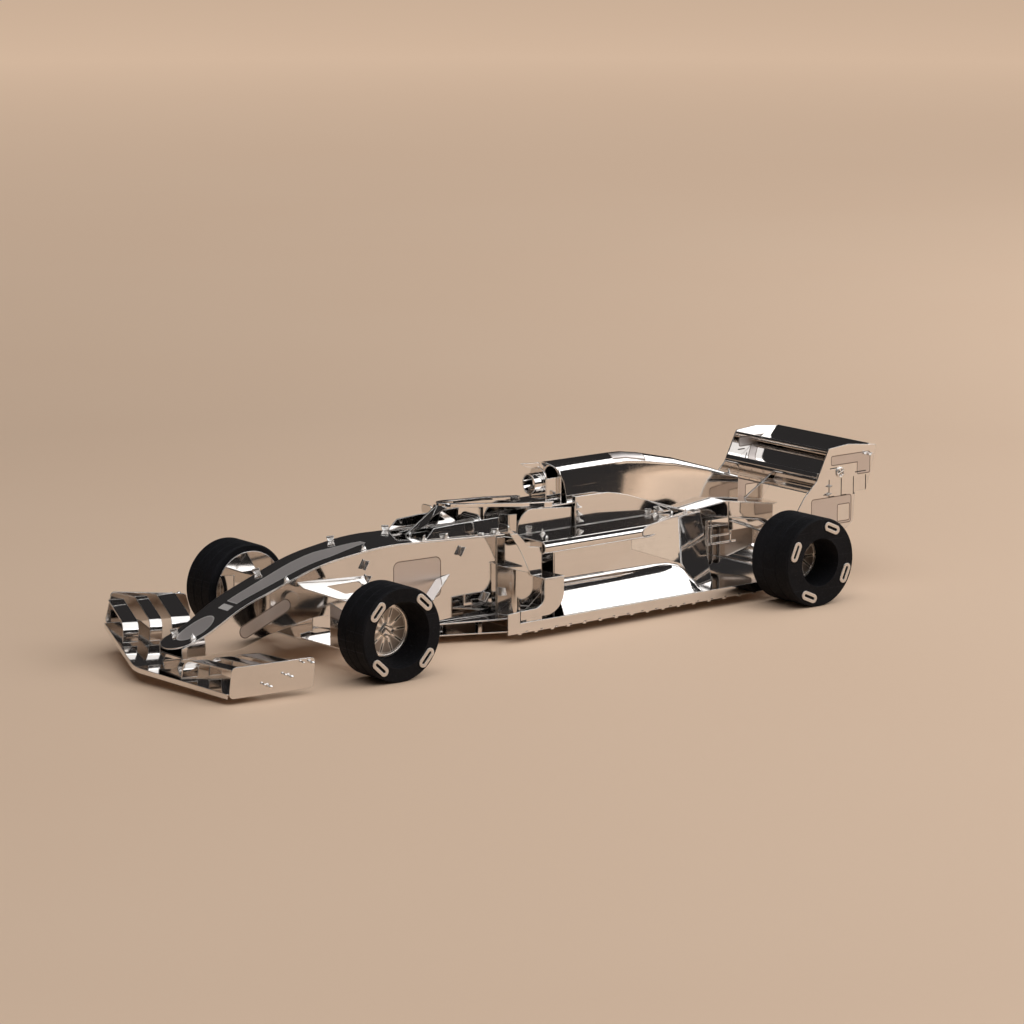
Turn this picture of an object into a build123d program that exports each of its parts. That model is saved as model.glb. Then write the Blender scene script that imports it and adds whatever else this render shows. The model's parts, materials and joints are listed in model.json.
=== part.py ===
from build123d import *
from collections import namedtuple
import os

# A display model of an open-wheel racing car, folded from polished stainless sheet, on foam tyres.
# Millimetres. +X points forwards, to the nose, +Y to the car's left, +Z up, and the ground is Z = 0.
# Sizes are given with X = 0 midway between the axles. At the end the whole car is moved along X,
# so that its origin lies on the ground under the middle of its box.

# Sheet and seats
SHEET = 0.5             # thickness of every folded plate
SEAT = 0.1              # gap left where one plate stands on another
RUN = 0.06              # radial running clearance of a wheel on its stub axle

# Wheels
WHEELBASE = 218.2
OUTER_FACE = 60.9       # half the width over the tyres' outer faces
FRONT_AXLE, REAR_AXLE = WHEELBASE / 2, -WHEELBASE / 2
TYRE_R = 18.8
AXLE_R = 1.6
SLEEVE_R = 2.6          # hub sleeve on the axle
CAP_SIDE = 4.6          # square cap that keeps the hub on
BOSS_R = 3.2
CAP_GAP = 0.3           # end play of a wheel
CLAMP_LENGTH, CLAMP_WIDTH, CLAMP_THICK = 8.6, 3.8, 0.4
CARRIER_GAP = 0.6       # between a tyre's inner face and the carrier plate beside it
# hole_r: the tyre's hole in its outer face, disc_r and depth: the hub disc and how far it lies inside
# that face, clamp_r: circle of the clamp plates, phase: angle of the first one, rings: foam rings in
# the tyre, carrier_r: disc behind the wheel
Wheel = namedtuple("Wheel", "axle_x width hole_r disc_r depth clamp_r phase rings carrier_r")
WHEELS = {
    "front": Wheel(FRONT_AXLE, 17.2, 13.2, 10.6, 10.5, 15.7, 47.5, 3, 16.0),
    "rear": Wheel(REAR_AXLE, 22.5, 10.3, 9.4, 13.5, 15.2, 66.0, 3, 11.0),
}

# Floor
FLOOR_TOP = 8.0
FLOOR_HALF = OUTER_FACE - WHEELS["rear"].width - 2.4
FLOOR_FRONT, FLOOR_REAR = 37.5, REAR_AXLE + 5.1
LIP_HEIGHT = 4.2        # flange folded down along each side
TRAY_Z = 3.2            # underside of the splitter tray below the cockpit

# Nose and tub
NOSE_TIP = FRONT_AXLE + 69.4
TUB_FRONT, TUB_REAR = NOSE_TIP - 3.0, 24.0
TUB_HALF_FRONT, TUB_HALF_REAR = 8.0, 16.2
DECK_LINE = [
    (NOSE_TIP, 12.2), (NOSE_TIP - 13.5, 16.5), (NOSE_TIP - 30.5, 26), (FRONT_AXLE + 2.9, 38.5),
    (FRONT_AXLE - 27.1, 42.5), (TUB_REAR, 40.2),
]
DECK_RADII = [60, 80, 100, 120]
KEEL_LINE = [
    (TUB_FRONT, 8.8), (TUB_FRONT - 26.5, 9.5), (TUB_FRONT - 38.5, 13.5), (FRONT_AXLE + 3.0, 18.6),
    (66, 8.6), (TUB_REAR, 8.2),
]
KEEL_RADII = [20, 20, 30, 40]
BRACKET_HALF, BRACKET_Z = 10.4, 9.4     # the bracket below the keel, for the lower wishbones
COCKPIT_FRONT, COCKPIT_REAR, COCKPIT_HALF = 60.0, 28.0, 10.5
LINER_FLOOR = 9.9       # top of the cockpit liner's floor

# Side pods
POD_FRONT, POD_REAR = 14.0, -84.0
POD_DECK = 38.0
POD_ROLL = 2.6
POD_HALF = 30.6
POD_TAPER = -37.0       # behind this station the deck is cut inwards
POD_INNER_Y = 11.6
POD_WALL_Y = 24.0
# station X, deck height
POD_STATIONS = [(POD_FRONT, POD_DECK), (-60.0, POD_DECK), (POD_REAR, POD_DECK - 1.4)]
# station X, distance inside the floor's edge, height above the floor
SKIN_STATIONS = [
    (8.3, 0.4, 12.5), (-54.0, 0.4, 12.5), (-59.5, 0.5, 10.4), (-64.4, 0.7, 6.5), (-66.8, 0.9, 2.4),
]

# Body behind the cockpit: the deck's line in (X, Z), its upright plates and the engine cover
BODY_DECK = [(2, 47.6), (-43, 47.6), (-78, 36.6), (REAR_AXLE + 10.1, 38.4), (REAR_AXLE - 22.9, 33.2)]
BODY_PLATE_Y = 11.0
# station X, half-width, top height
COVER_STATIONS = [
    (-7, 6.8, 64.3), (-43, 6.6, 64.3), (-50, 6.5, 64.1), (-60, 6.0, 62.5), (-78, 4.6, 58.4),
    (-98, 2.7, 52.2), (-116, 0.9, 46),
]

# Rear wing
REAR_WING_HALF = FLOOR_HALF - 6.0
# distance behind the rear axle, height
WING_PLATE = [
    (32.5, 59.0), (43.8, 59.9), (60.6, 58.0), (56.8, 45.3), (54.6, 38.7), (48.1, 38.8),
    (47.2, 26.0), (43.0, 23.0), (19.5, 23.0), (14.6, 28.0), (15.1, 34.1), (18.9, 39.3), (25.8, 45.6),
]

# Front wing, drawn level and then set down askew as the real one sits
WING_TIP_X, WING_TIP_Z = NOSE_TIP + 11.4, 4.0
WING_HALF, WING_SWEEP, WING_RISE = 52.6, 12.0, 2.7
WING_LIP = 1.5          # turned down along the main plane's front edge
WING_ROLL, WING_YAW, WING_PITCH = -4.2, -6.1, -3.4
# corners of the endplates: distance behind the wing's end, height above its end. They are bent unlike
ENDPLATES = {
    "left": [(0.8, -1.5), (1.0, 10.9), (36.8, 12.9), (37.0, 0.7)],
    "right": [(0.2, -0.1), (2.3, 13.2), (35.6, 10.6), (39.1, 0.9)],
}
# front wing flaps: distance of the front edge behind the main plane's, width, height at the endplate
FLAPS = [(1.2, 6.8, 10.0), (13.0, 5.4, 10.6), (22.6, 8.4, 11.0)]
FLAP_INNER_Y = 25.0

pieces = {}


def polygon(points):
    """A flat face with straight sides."""
    return make_face(Polyline(*points, close=True))


def rounded(points, radius):
    """A flat face with straight sides and rounded corners."""
    return make_face(FilletPolyline(*points, radius=radius, close=True))


def folded(path, side=Side.LEFT, thickness=SHEET):
    """A folded sheet seen edge-on: its path and the same path one thickness to the side."""
    return make_face(offset(path, amount=thickness, side=side).edges())


def over_x(face, x0, x1):
    """A face drawn in (Y, Z), made solid from x0 to x1."""
    return extrude(Plane.YZ.offset(x0) * face, amount=x1 - x0)


def over_y(face, y0, y1):
    """A face drawn in (X, Z), made solid from y0 to y1."""
    return extrude(Plane.XZ.offset(-y0) * face, amount=y0 - y1)


def over_z(face, z0, z1):
    """A face drawn in (X, Y), made solid from z0 to z1."""
    return extrude(Plane.XY.offset(z0) * face, amount=z1 - z0)


def common(one, other):
    """What two solids share."""
    shared = one & other
    return Part() + (shared if isinstance(shared, (list, ShapeList)) else [shared])


def strap(start, end, width, thickness=SHEET):
    """A flat strip between two points, its width as level as it can lie."""
    run = Vector(*end) - Vector(*start)
    across = Vector(0, 0, 1).cross(run).normalized()
    middle = (Vector(*start) + Vector(*end)) * 0.5
    return Plane(middle, x_dir=run, z_dir=run.cross(across)) * Box(run.length, width, thickness)


def other_side(shape):
    """The same piece on the car's right."""
    return mirror(shape, about=Plane.XZ)


def plate(corners, thickness=SHEET):
    """A flat piece in space. Seen so that its corners turn left, it is thick away from the viewer."""
    first, second, third = (Vector(*corner) for corner in corners[:3])
    plane = Plane(first, x_dir=second - first, z_dir=(second - first).cross(third - first))
    flat = [plane.to_local_coords(Vector(*corner)) for corner in corners]
    return extrude(plane * polygon([(point.X, point.Y) for point in flat]), amount=-thickness)


def both_sides(name, shape):
    """Adds a piece and its mirror image, as two pieces."""
    pieces[name + "_left"] = shape
    pieces[name + "_right"] = other_side(shape)


def pair(name, shape):
    """Adds a small piece and its mirror image under one name."""
    pieces[name] = Part() + [shape, other_side(shape)]


def tub_y(x):
    """Outer face of the tub's side at a station."""
    return TUB_HALF_FRONT + (TUB_FRONT - x) * (TUB_HALF_REAR - TUB_HALF_FRONT) / (TUB_FRONT - TUB_REAR)


# Tub: two flat sides under one curved deck, with a keel sheet between them

def make_tub():
    deck_path = FilletPolyline(*DECK_LINE, radius=DECK_RADII)
    keel_path = FilletPolyline(*KEEL_LINE, radius=KEEL_RADII)
    deck_sheet = over_y(folded(deck_path, Side.RIGHT), 30, -30)
    keel_sheet = over_y(folded(keel_path, Side.RIGHT), 30, -30)
    drop = Pos(0, 0, -SEAT)
    rear_edge = Line((TUB_REAR, DECK_LINE[-1][1]), (TUB_REAR, KEEL_LINE[-1][1]))
    rear_low = Line(KEEL_LINE[-1], (TUB_REAR, 0))
    front_low = Line(KEEL_LINE[0], (TUB_FRONT, 0))
    front_edge = Line((TUB_FRONT, 0), (NOSE_TIP, 0))
    tip_edge = Line((NOSE_TIP, 0), DECK_LINE[0])
    outline = make_face([*deck_path.edges(), rear_edge, *keel_path.edges(), front_low, front_edge, tip_edge])
    block = drop * over_y(outline, 30, -30)
    room = over_z(polygon([(TUB_REAR, -30), (TUB_FRONT, -30), (TUB_FRONT, 30), (TUB_REAR, 30)]), 5, 60)
    block = common(block, room)
    side_rear = COCKPIT_REAR + 0.2
    strip = polygon([
        (TUB_FRONT, TUB_HALF_FRONT), (side_rear, tub_y(side_rear)),
        (side_rear, tub_y(side_rear) - SHEET), (TUB_FRONT, TUB_HALF_FRONT - SHEET),
    ])
    both_sides("tub_side", common(block, over_z(strip, 0, 60)))

    lap = 0.3
    front = TUB_HALF_FRONT + lap
    plan = make_face([
        Line((TUB_REAR, -TUB_HALF_REAR - lap), (TUB_FRONT - 3, -front)),
        ThreePointArc((TUB_FRONT - 3, -front), (NOSE_TIP, 0), (TUB_FRONT - 3, front)),
        Line((TUB_FRONT - 3, front), (TUB_REAR, TUB_HALF_REAR + lap)),
        Line((TUB_REAR, TUB_HALF_REAR + lap), (TUB_REAR, -TUB_HALF_REAR - lap)),
    ])
    hole = rounded([
        (COCKPIT_FRONT, -COCKPIT_HALF + 3), (COCKPIT_FRONT, COCKPIT_HALF - 3),
        (COCKPIT_FRONT - 8, COCKPIT_HALF), (COCKPIT_REAR, COCKPIT_HALF),
        (COCKPIT_REAR, -COCKPIT_HALF), (COCKPIT_FRONT - 8, -COCKPIT_HALF),
    ], 2)
    pieces["nose_deck"] = common(deck_sheet, over_z(plan, 0, 60)) - over_z(hole, 0, 60)

    gap = SHEET + SEAT
    keel_plan = polygon([
        (TUB_REAR, TUB_HALF_REAR - gap), (TUB_FRONT - 1, TUB_HALF_FRONT - gap),
        (TUB_FRONT - 1, -TUB_HALF_FRONT + gap), (TUB_REAR, -TUB_HALF_REAR + gap),
    ])
    # A folded bracket stands down from the keel. Its sides have a block and a tongue to the front
    rear_x, block_x, tongue_x = FRONT_AXLE - 11, FRONT_AXLE + 6.4, FRONT_AXLE + 12.3
    cheek = over_y(polygon([
        (rear_x, BRACKET_Z), (tongue_x, BRACKET_Z), (tongue_x, BRACKET_Z + 2.4),
        (block_x, BRACKET_Z + 3.0), (block_x, 22), (rear_x, 22),
    ]), BRACKET_HALF, BRACKET_HALF - SHEET)
    base = over_x(Rectangle(2 * BRACKET_HALF, SHEET), rear_x, tongue_x)
    bracket = Pos(0, 0, BRACKET_Z + SHEET / 2) * base + cheek + other_side(cheek)
    under = over_y(make_face([
        *keel_path.edges(), rear_low, Line((TUB_REAR, 0), (TUB_FRONT, 0)), Line((TUB_FRONT, 0), KEEL_LINE[0]),
    ]), 30, -30)
    pieces["nose_keel"] = common(keel_sheet, over_z(keel_plan, 0, 60)) + common(bracket, under)


# Cockpit: a folded liner, its coaming, the wheel the driver would hold and the head protection

def make_cockpit():
    half = COCKPIT_HALF + 1.2
    deck_under = 39.9
    low = LINER_FLOOR - SHEET
    trough = Polyline((half, deck_under), (half, low), (-half, low), (-half, deck_under))
    liner = over_x(folded(trough, Side.RIGHT), COCKPIT_REAR - 2, COCKPIT_FRONT - 4)
    inside = half - SHEET
    wall = polygon([(-inside, low), (inside, low), (inside, deck_under), (-inside, deck_under)])
    dash = over_x(wall, COCKPIT_FRONT - 4 - SHEET, COCKPIT_FRONT - 4)
    pieces["cockpit_liner"] = liner + dash

    # The coaming leans in from the deck on each side of the driver
    base_z, rim_z = 42.2, 46.0
    low_front = Vector(COCKPIT_FRONT + 1, 12.6, base_z + 0.1)
    low_rear = Vector(COCKPIT_REAR - 3, 14.0, base_z - 1.3)
    high = Vector(COCKPIT_REAR - 3, 11.2, rim_z + 1.2)
    run = low_rear - low_front
    side = Plane(low_front, x_dir=run, z_dir=run.cross(high - low_front))
    panel = polygon([(0, 0), (run.length, 0), (run.length, 7.0), (4.4, 4.4)])
    pair("coamings", extrude(side * panel, amount=SHEET))

    # Seat back with a rounded headrest, standing on the liner's floor
    seat_x = COCKPIT_REAR + 0.4
    foot = LINER_FLOOR + SEAT
    back = over_x(rounded([(-8, foot), (8, foot), (6.5, 47.5), (-6.5, 47.5)], 3), seat_x, seat_x + SHEET)
    pad = over_x(rounded([(-6, 41), (6, 41), (6, 46.5), (-6, 46.5)], 2), seat_x + SHEET, seat_x + 2.8)
    pieces["seat_back"] = back + pad

    rim = rounded([(-5, -3), (5, -3), (5, 3), (-5, 3)], 1.5)
    grips = [Pos(y, 0, 0) * SlotOverall(3.2, 1.4, rotation=90) for y in (-3.2, 3.2)]
    column_z = 36.5
    tilt = Plane((46, 0, 40.5), x_dir=(0, 1, 0), z_dir=(1, 0, -0.42))
    wheel = extrude(tilt * (rim - grips), amount=0.8)
    column = tilt * Pos(0, 0, 5.3) * Cylinder(0.8, 9.4)
    pieces["steering_wheel"] = wheel + common(column, Pos(50.0, 0, column_z) * Box(11.5, 10, 14))


def make_halo():
    """The driver's head guard: a pointed ring on a folded front pillar. It leans over, as the real one."""
    rise, lean, centre_z = 0.083, 0.045, 49.9
    plane = Plane((0, 0, centre_z), x_dir=(1, 0, rise), z_dir=(-rise, -lean, 1))
    rear_x, bar = -4.9, 2.4
    outer = make_face([
        Line((rear_x, 12.2), (12, 12.6)), Line((12, 12.6), (32, 8.0)),
        ThreePointArc((32, 8.0), (42.8, 4.7), (46.4, 0)), ThreePointArc((46.4, 0), (42.8, -4.7), (32, -8.0)),
        Line((32, -8.0), (12, -12.6)), Line((12, -12.6), (rear_x, -12.2)),
        Line((rear_x, -12.2), (rear_x, 12.2)),
    ])
    hole_rear = rear_x - 1
    inner = make_face([
        Line((hole_rear, 12.2 - bar), (11.6, 12.6 - bar)), Line((11.6, 12.6 - bar), (31, 8.2 - bar)),
        ThreePointArc((31, 8.2 - bar), (38.6, 3.4), (41.6, 0)),
        ThreePointArc((41.6, 0), (38.6, -3.4), (31, bar - 8.2)),
        Line((31, bar - 8.2), (11.6, bar - 12.6)), Line((11.6, bar - 12.6), (hole_rear, bar - 12.2)),
        Line((hole_rear, bar - 12.2), (hole_rear, 12.2 - bar)),
    ])
    rim = outer - offset(outer, amount=-SHEET)
    skirt = extrude(plane * (rim - inner), amount=-1.5) - over_x(Rectangle(60, 200), rear_x - 1, 8)
    ring = extrude(plane * (outer - inner), amount=-SHEET) + skirt
    spine = over_y(polygon([(61.8, 42.9), (60.0, 42.9), (44.6, 52.2), (46.0, 52.9)]), 0.4, -0.4)
    wing = plate([
        (60.6, 0, 43.0), (45.6, 0, 52.6), (44.0, 4.2, 51.8), (49.6, 3.2, 47.5), (52.6, 4.0, 43.7),
        (58.6, 2.0, 43.0),
    ])
    guard = ring + spine + wing + other_side(wing)
    leg_shape = polygon([(-4.8, 52), (-0.6, 52), (-0.6, 47.9), (-4.8, 47.5)])
    leg = over_y(leg_shape, BODY_PLATE_Y + SHEET, BODY_PLATE_Y)
    above = extrude(plane * Rectangle(200, 60), amount=10)
    pieces["halo"] = guard + (leg - above) + (other_side(leg) - above)


# Floor with folded side lips, the splitter tray and the diffuser

def make_floor():
    end_x, end_half = FLOOR_REAR - 22, FLOOR_HALF - 10
    plan = polygon([
        (FLOOR_FRONT, FLOOR_HALF), (FLOOR_REAR, FLOOR_HALF), (end_x + 10, end_half + 4), (end_x, end_half),
        (end_x, -end_half), (end_x + 10, -end_half - 4), (FLOOR_REAR, -FLOOR_HALF), (FLOOR_FRONT, -FLOOR_HALF),
        (28, -26), (56, -17), (66, -13), (66, 13), (56, 17), (28, 26),
    ])
    pan = over_z(plan, FLOOR_TOP - SHEET, FLOOR_TOP)
    bottom = FLOOR_TOP - LIP_HEIGHT
    lip_shape = polygon([
        (FLOOR_REAR, FLOOR_TOP), (FLOOR_REAR + 5, bottom), (FLOOR_FRONT, bottom), (FLOOR_FRONT, 12.4),
        (31.5, 12.8), (31.5, FLOOR_TOP),
    ])
    lip = over_y(lip_shape, FLOOR_HALF, FLOOR_HALF - SHEET)
    tab_pitch, tab_width, tab_drop = 8.4, 1.6, 0.6
    tabs = []
    for number in range(16):
        x = FLOOR_FRONT - 6 - number * tab_pitch
        tabs.append(Pos(x, FLOOR_HALF - SHEET / 2, bottom - tab_drop / 2) * Box(tab_width, SHEET, tab_drop))
    lip = lip + tabs
    pieces["floor"] = pan + lip + other_side(lip)

    tray = polygon([
        (84, 0), (72, 12), (56, 19), (34, 29), (28, 29), (28, -29), (34, -29), (56, -19), (72, -12),
    ])
    stand = FLOOR_TOP - SHEET - TRAY_Z - SHEET - 2 * SEAT
    blocks = [
        Pos(x, y, TRAY_Z + SHEET + SEAT + stand / 2) * Box(2, 2, stand + 2 * SEAT)
        for x in (34, 54) for y in (-12, 12)
    ]
    pieces["splitter_tray"] = over_z(tray, TRAY_Z, TRAY_Z + SHEET) + [
        Pos(0, 0, -SEAT / 2) * block for block in blocks
    ]

    start, half = end_x - 0.6, end_half - 1
    line = FilletPolyline((start, FLOOR_TOP - 0.4), (start - 7.4, 8.6), (start - 23.4, 18), radius=14)
    fin = polygon([
        (start - 0.4, 6.8), (start - 7.4, 7.2), (start - 23.4, 16.5), (start - 22.4, 10.5), (start - 9.4, 5.2),
    ])
    strakes = [over_y(fin, y + 0.25, y - 0.25) for y in (-half + 0.25, -8, 8, half - 0.25)]
    pieces["diffuser"] = over_y(folded(line, Side.RIGHT), half, -half) + strakes


# Side pods: a rolled deck cut inwards to the tail, a flat inset wall and a bulged lower skin

def pod_deck_section(height):
    """Edge of the pod's deck and its rolled outer rim, in (Y, Z)."""
    low = height - 2 * POD_ROLL
    return folded(FilletPolyline(
        (POD_INNER_Y, height), (POD_HALF, height), (POD_HALF, low), (POD_HALF - 4.2, low),
        radius=POD_ROLL - 0.05), Side.RIGHT)


def skin_section(inset, height):
    """Edge of the lower skin, in (Y, Z): a ledge against the wall, then round and down to the floor."""
    foot, half = FLOOR_TOP + SEAT, FLOOR_HALF - inset
    ledge = POD_WALL_Y + 2 * SEAT
    radius = min(6.2, height - 1)
    top = foot + height
    return folded(FilletPolyline((ledge, top), (half, top), (half, foot), radius=radius), Side.RIGHT)


def make_pod_deck():
    deck = Part()
    for (x0, z0), (x1, z1) in zip(POD_STATIONS, POD_STATIONS[1:]):
        deck += loft([
            Plane.YZ.offset(x0) * pod_deck_section(z0), Plane.YZ.offset(x1) * pod_deck_section(z1),
        ], ruled=True)
    outside = POD_HALF + 1
    plan = polygon([
        (POD_FRONT, 0), (POD_FRONT, outside), (POD_TAPER, outside), (POD_TAPER, POD_HALF),
        (-67.5, 18.6), (POD_REAR, 13.0), (POD_REAR, 0),
    ])
    both_sides("pod_deck", common(deck, over_z(plan, 0, 60)))


def make_pod_wall():
    """The inset wall: flat in front, its upper corner folded in along a slant, its rear turned inwards."""
    foot, top = FLOOR_TOP + SEAT, POD_DECK - SHEET - SEAT
    fold_top, fold_low, end_low = (POD_TAPER, 27.8), (-62.3, 18.6), (-68.6, foot)
    front = over_y(polygon([
        (4, foot), end_low, fold_low, fold_top, (POD_TAPER, top), (4, top),
    ]), POD_WALL_Y, POD_WALL_Y - SHEET)
    start = Vector(fold_top[0], POD_WALL_Y, fold_top[1])
    low, high = Vector(fold_low[0], POD_WALL_Y, fold_low[1]), Vector(-67.5, 18.0, 37.4)
    above = 40
    # The corner runs on behind the rear's fold, so that the two share their thickness there
    past = (low - start).normalized() * SHEET
    upper = plate([start, low + past, high + past, (-67.9, 17.6, above), (POD_TAPER, 20.5, above)])
    rear = plate([low, high, (POD_REAR, 12.0, 37.3), (-82, 18.2, foot), (end_low[0], POD_WALL_Y, foot)])
    room = over_y(polygon([
        (4, foot), (4, top), (-60, top), (POD_REAR, POD_STATIONS[-1][1] - SHEET - SEAT), (POD_REAR, foot),
    ]), 30, 0)
    both_sides("pod_wall", common(front + upper + rear, room))


def make_pod_skin():
    skin = Part()
    for (x0, inset0, z0), (x1, inset1, z1) in zip(SKIN_STATIONS, SKIN_STATIONS[1:]):
        skin += loft([
            Plane.YZ.offset(x0) * skin_section(inset0, z0), Plane.YZ.offset(x1) * skin_section(inset1, z1),
        ], ruled=True)
    front = SKIN_STATIONS[0][0]
    corner = over_y(polygon([(front - 2.4, 8.0), (front + 0.1, 11.3), (front + 0.1, 8.0)]), 40, 33)
    both_sides("pod_skin", skin - corner)


def make_pod_inlet():
    """Boomerang plate, shelf, curved front sheet and the walls inside the inlet."""
    bracket_y = 28.0
    bracket = make_face([
        Line((30.5, 43.2), (27.0, 43.2)), Line((27.0, 43.2), (21.0, 37.0)), Line((21.0, 37.0), (14.4, 36.0)),
        Line((14.4, 36.0), (14.4, 24.6)), Line((14.4, 24.6), (20.0, 24.6)),
        ThreePointArc((20.0, 24.6), (24.6, 34.6), (30.5, 43.2)),
    ])
    bracket_plate = over_y(bracket, bracket_y + SHEET, bracket_y)
    shelf = over_z(polygon([(18.5, 25.0), (10.5, 21.5), (9.0, 36.4), (19.0, 36.4)]), 24.4, 24.4 + SHEET)
    foot = FLOOR_TOP + SEAT
    bend = FilletPolyline((27.8, 16.5), (25.0, 25.4), (13.5, 29.6), radius=5)
    sheet = over_z(folded(bend, Side.LEFT), foot, 30)
    side = polygon([
        (31, foot), (24.5, foot), (19.5, 12.4), (15.5, 17.0), (13.6, 24.45), (22, 26.6), (31, 29.4),
    ])
    front = common(sheet, over_y(side, 40, 0))
    inner_y, high = 16.2, 37.3
    wall_y = POD_WALL_Y - SEAT
    inner = over_y(polygon([
        (27.9, foot), (3.9, foot), (3.9, high), (14.2, high), (23.8, 39.6), (27.9, 39.8),
    ]), inner_y, inner_y - SHEET)
    cross = over_x(polygon([(inner_y, foot), (wall_y, foot), (wall_y, high), (inner_y, high)]), 4.1, 4.6)
    pair("pod_inlets", Part() + [bracket_plate + shelf, front, inner + cross])


def make_turning_vane():
    vane = make_face([
        Line((18.7, 24.2), (8.8, 24.2)), Line((8.8, 24.2), (8.8, 17.5)),
        ThreePointArc((8.8, 17.5), (11.2, 12.4), (16.5, 9.6)), Line((16.5, 9.6), (31.0, 9.0)),
        Line((31.0, 9.0), (31.0, 12.8)), Line((31.0, 12.8), (24.5, 13.0)),
        ThreePointArc((24.5, 13.0), (20.4, 14.4), (18.7, 18.0)), Line((18.7, 18.0), (18.7, 24.2)),
    ])
    foot = Pos(24, FLOOR_HALF - 1.5, FLOOR_TOP + SEAT + 0.25) * Box(8, 2, SHEET)
    post = Pos(24, FLOOR_HALF - 0.5, FLOOR_TOP + SEAT + 1.1) * Box(8, SHEET, 2.2)
    pair("turning_vanes", over_y(vane, FLOOR_HALF, FLOOR_HALF - SHEET) + foot + post)


# Body behind the cockpit: plates beside the head, engine cover, air intake and rear deck

def body_deck_z(x):
    """Top of the body deck at a station."""
    for (x0, z0), (x1, z1) in zip(BODY_DECK, BODY_DECK[1:]):
        if x1 <= x <= x0:
            return z0 + (z1 - z0) * (x0 - x) / (x0 - x1) + 1.1 * SHEET
    return BODY_DECK[-1][1]


def cover_section(half, top, bottom):
    """Arch of the engine cover, in (Y, Z)."""
    shoulder = top - half
    return make_face([
        Line((-half, bottom), (half, bottom)), Line((half, bottom), (half, shoulder)),
        ThreePointArc((half, shoulder), (0, top), (-half, shoulder)), Line((-half, shoulder), (-half, bottom)),
    ])


def cover_solid(shrink, drop):
    """The engine cover's outer form, or the hollow inside it."""
    solid = Part()
    for (x0, half0, top0), (x1, half1, top1) in zip(COVER_STATIONS, COVER_STATIONS[1:]):
        solid += loft([
            Plane.YZ.offset(x) * cover_section(half - shrink, top - shrink, body_deck_z(x) + SEAT - drop)
            for x, half, top in ((x0, half0, top0), (x1, half1, top1))
        ], ruled=True)
    return solid


def make_body_top():
    foot = POD_DECK + SEAT
    outer = BODY_PLATE_Y + SHEET
    head = make_face([
        Line((-14.9, foot), (13.6, foot)), Line((13.6, foot), (13.2, 42.0)),
        ThreePointArc((13.2, 42.0), (11.0, 45.9), (5.5, 48.1)), Line((5.5, 48.1), (-14.9, 46.4)),
        Line((-14.9, 46.4), (-14.9, foot)),
    ])
    cheek_line = FilletPolyline((13.9, 11.4), (17.0, 10.2), (19.0, 6.4), radius=2)
    cheek = over_z(folded(cheek_line, Side.RIGHT), foot + 1.0, 46.8)
    pair("head_plates", over_y(head, outer, BODY_PLATE_Y) + cheek)
    engine = polygon([
        (-16.2, foot), (-16.2, 50.4), (-34.5, 50.2), (-44, 48.2), (-56, 44.2), (-68.5, 38.9), (-68.5, foot),
    ])
    flange_shape = polygon([(-16.2, foot), (-15.7, foot), (-15.7, 50.9), (-16.2, 50.9)])
    flange = over_y(flange_shape, outer + 1.6, BODY_PLATE_Y)
    pair("engine_plates", over_y(engine, outer, BODY_PLATE_Y) + flange)

    deck = over_y(folded(Polyline(*BODY_DECK), Side.RIGHT), 30, -30)
    inner = BODY_PLATE_Y - SEAT
    tail = REAR_AXLE
    plan = polygon([
        (5, -inner), (-81, -inner), (-81.5, -12.4), (tail - 18, -11.8), (tail - 22.9, -8),
        (tail - 22.9, 8), (tail - 18, 11.8), (-81.5, 12.4), (-81, inner), (5, inner),
    ])
    # The deck's sides behind the bulkhead: an angle plate and a broad one
    under = 0.3
    foot = FLOOR_TOP + SEAT
    angle = [(-84.9, foot), (-88.4, foot), (-88.4, 31.2), (tail + 8.3, 31.2)]
    broad = [(tail + 7.7, 25.5), (tail - 9.0, 25.5), (tail - 17.4, 27.2)]
    sides = []
    for low in (angle, broad):
        x0, x1 = low[-1][0], low[0][0]
        bends = [x for x, z in BODY_DECK if x0 < x < x1]
        high = [(x, body_deck_z(x) - under) for x in (x0, *bends[::-1], x1)]
        sides.append(over_y(polygon([*low, *high]), outer, BODY_PLATE_Y))
    both = sides + [other_side(side) for side in sides]
    pieces["body_deck"] = common(deck, over_z(plan, 20, 60)) + both

    visor = over_y(polygon([
        (0, 40), (-16.3, 40), (-16.3, 49.0), (-15.3, 57.0), (-12.5, 61.8), (-8.0, 64.6), (-8.0, 70), (0, 70),
    ]), 20, -20)
    pieces["engine_cover"] = cover_solid(0, 0) - cover_solid(SHEET, 5) - visor

    # Air intake: a short pipe through an arched frame, with a second frame behind it
    pipe_x, pipe_z, pipe_r, pipe_length = -6.4, 55.8, 4.3, 4.9
    front_frame = over_x(cover_section(5.4, 62.6, 49.4), -6.6, -6.1)
    rear_frame = over_x(cover_section(6.2, 63.6, body_deck_z(-13) + SEAT), -13.8, -13.3)
    hollow = over_x(cover_section(4.6, 62.0, 52.0), -20, -10)
    pipe = Pos(pipe_x + pipe_length / 2, 0, pipe_z) * Rot(0, 90, 0) * Cylinder(pipe_r, pipe_length)
    throat = Pos(pipe_x + pipe_length / 2, 0, pipe_z) * Rot(0, 90, 0) * Cylinder(pipe_r - SHEET, 12)
    cheeks = [
        over_x(polygon([(y, 51), (y + SHEET, 51), (y + SHEET, 58), (y, 58)]), -13.4, -6.5)
        for y in (-4.6, 4.1)
    ]
    foot_plate = over_x(polygon([(-5.2, 49.4), (5.2, 49.4), (5.2, 48.9), (-5.2, 48.9)]), -13.4, -6.1)
    fin = over_y(polygon([(-7, 62.4), (-7, 64.2), (3.0, 64.9), (0.5, 63.4), (-6.1, 61.5)]), 0.3, -0.3)
    pieces["air_intake"] = (front_frame + (rear_frame - hollow) + pipe + cheeks + foot_plate + fin) - throat


# Behind the driver: bulkhead, gearbox and the rear wing

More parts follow.
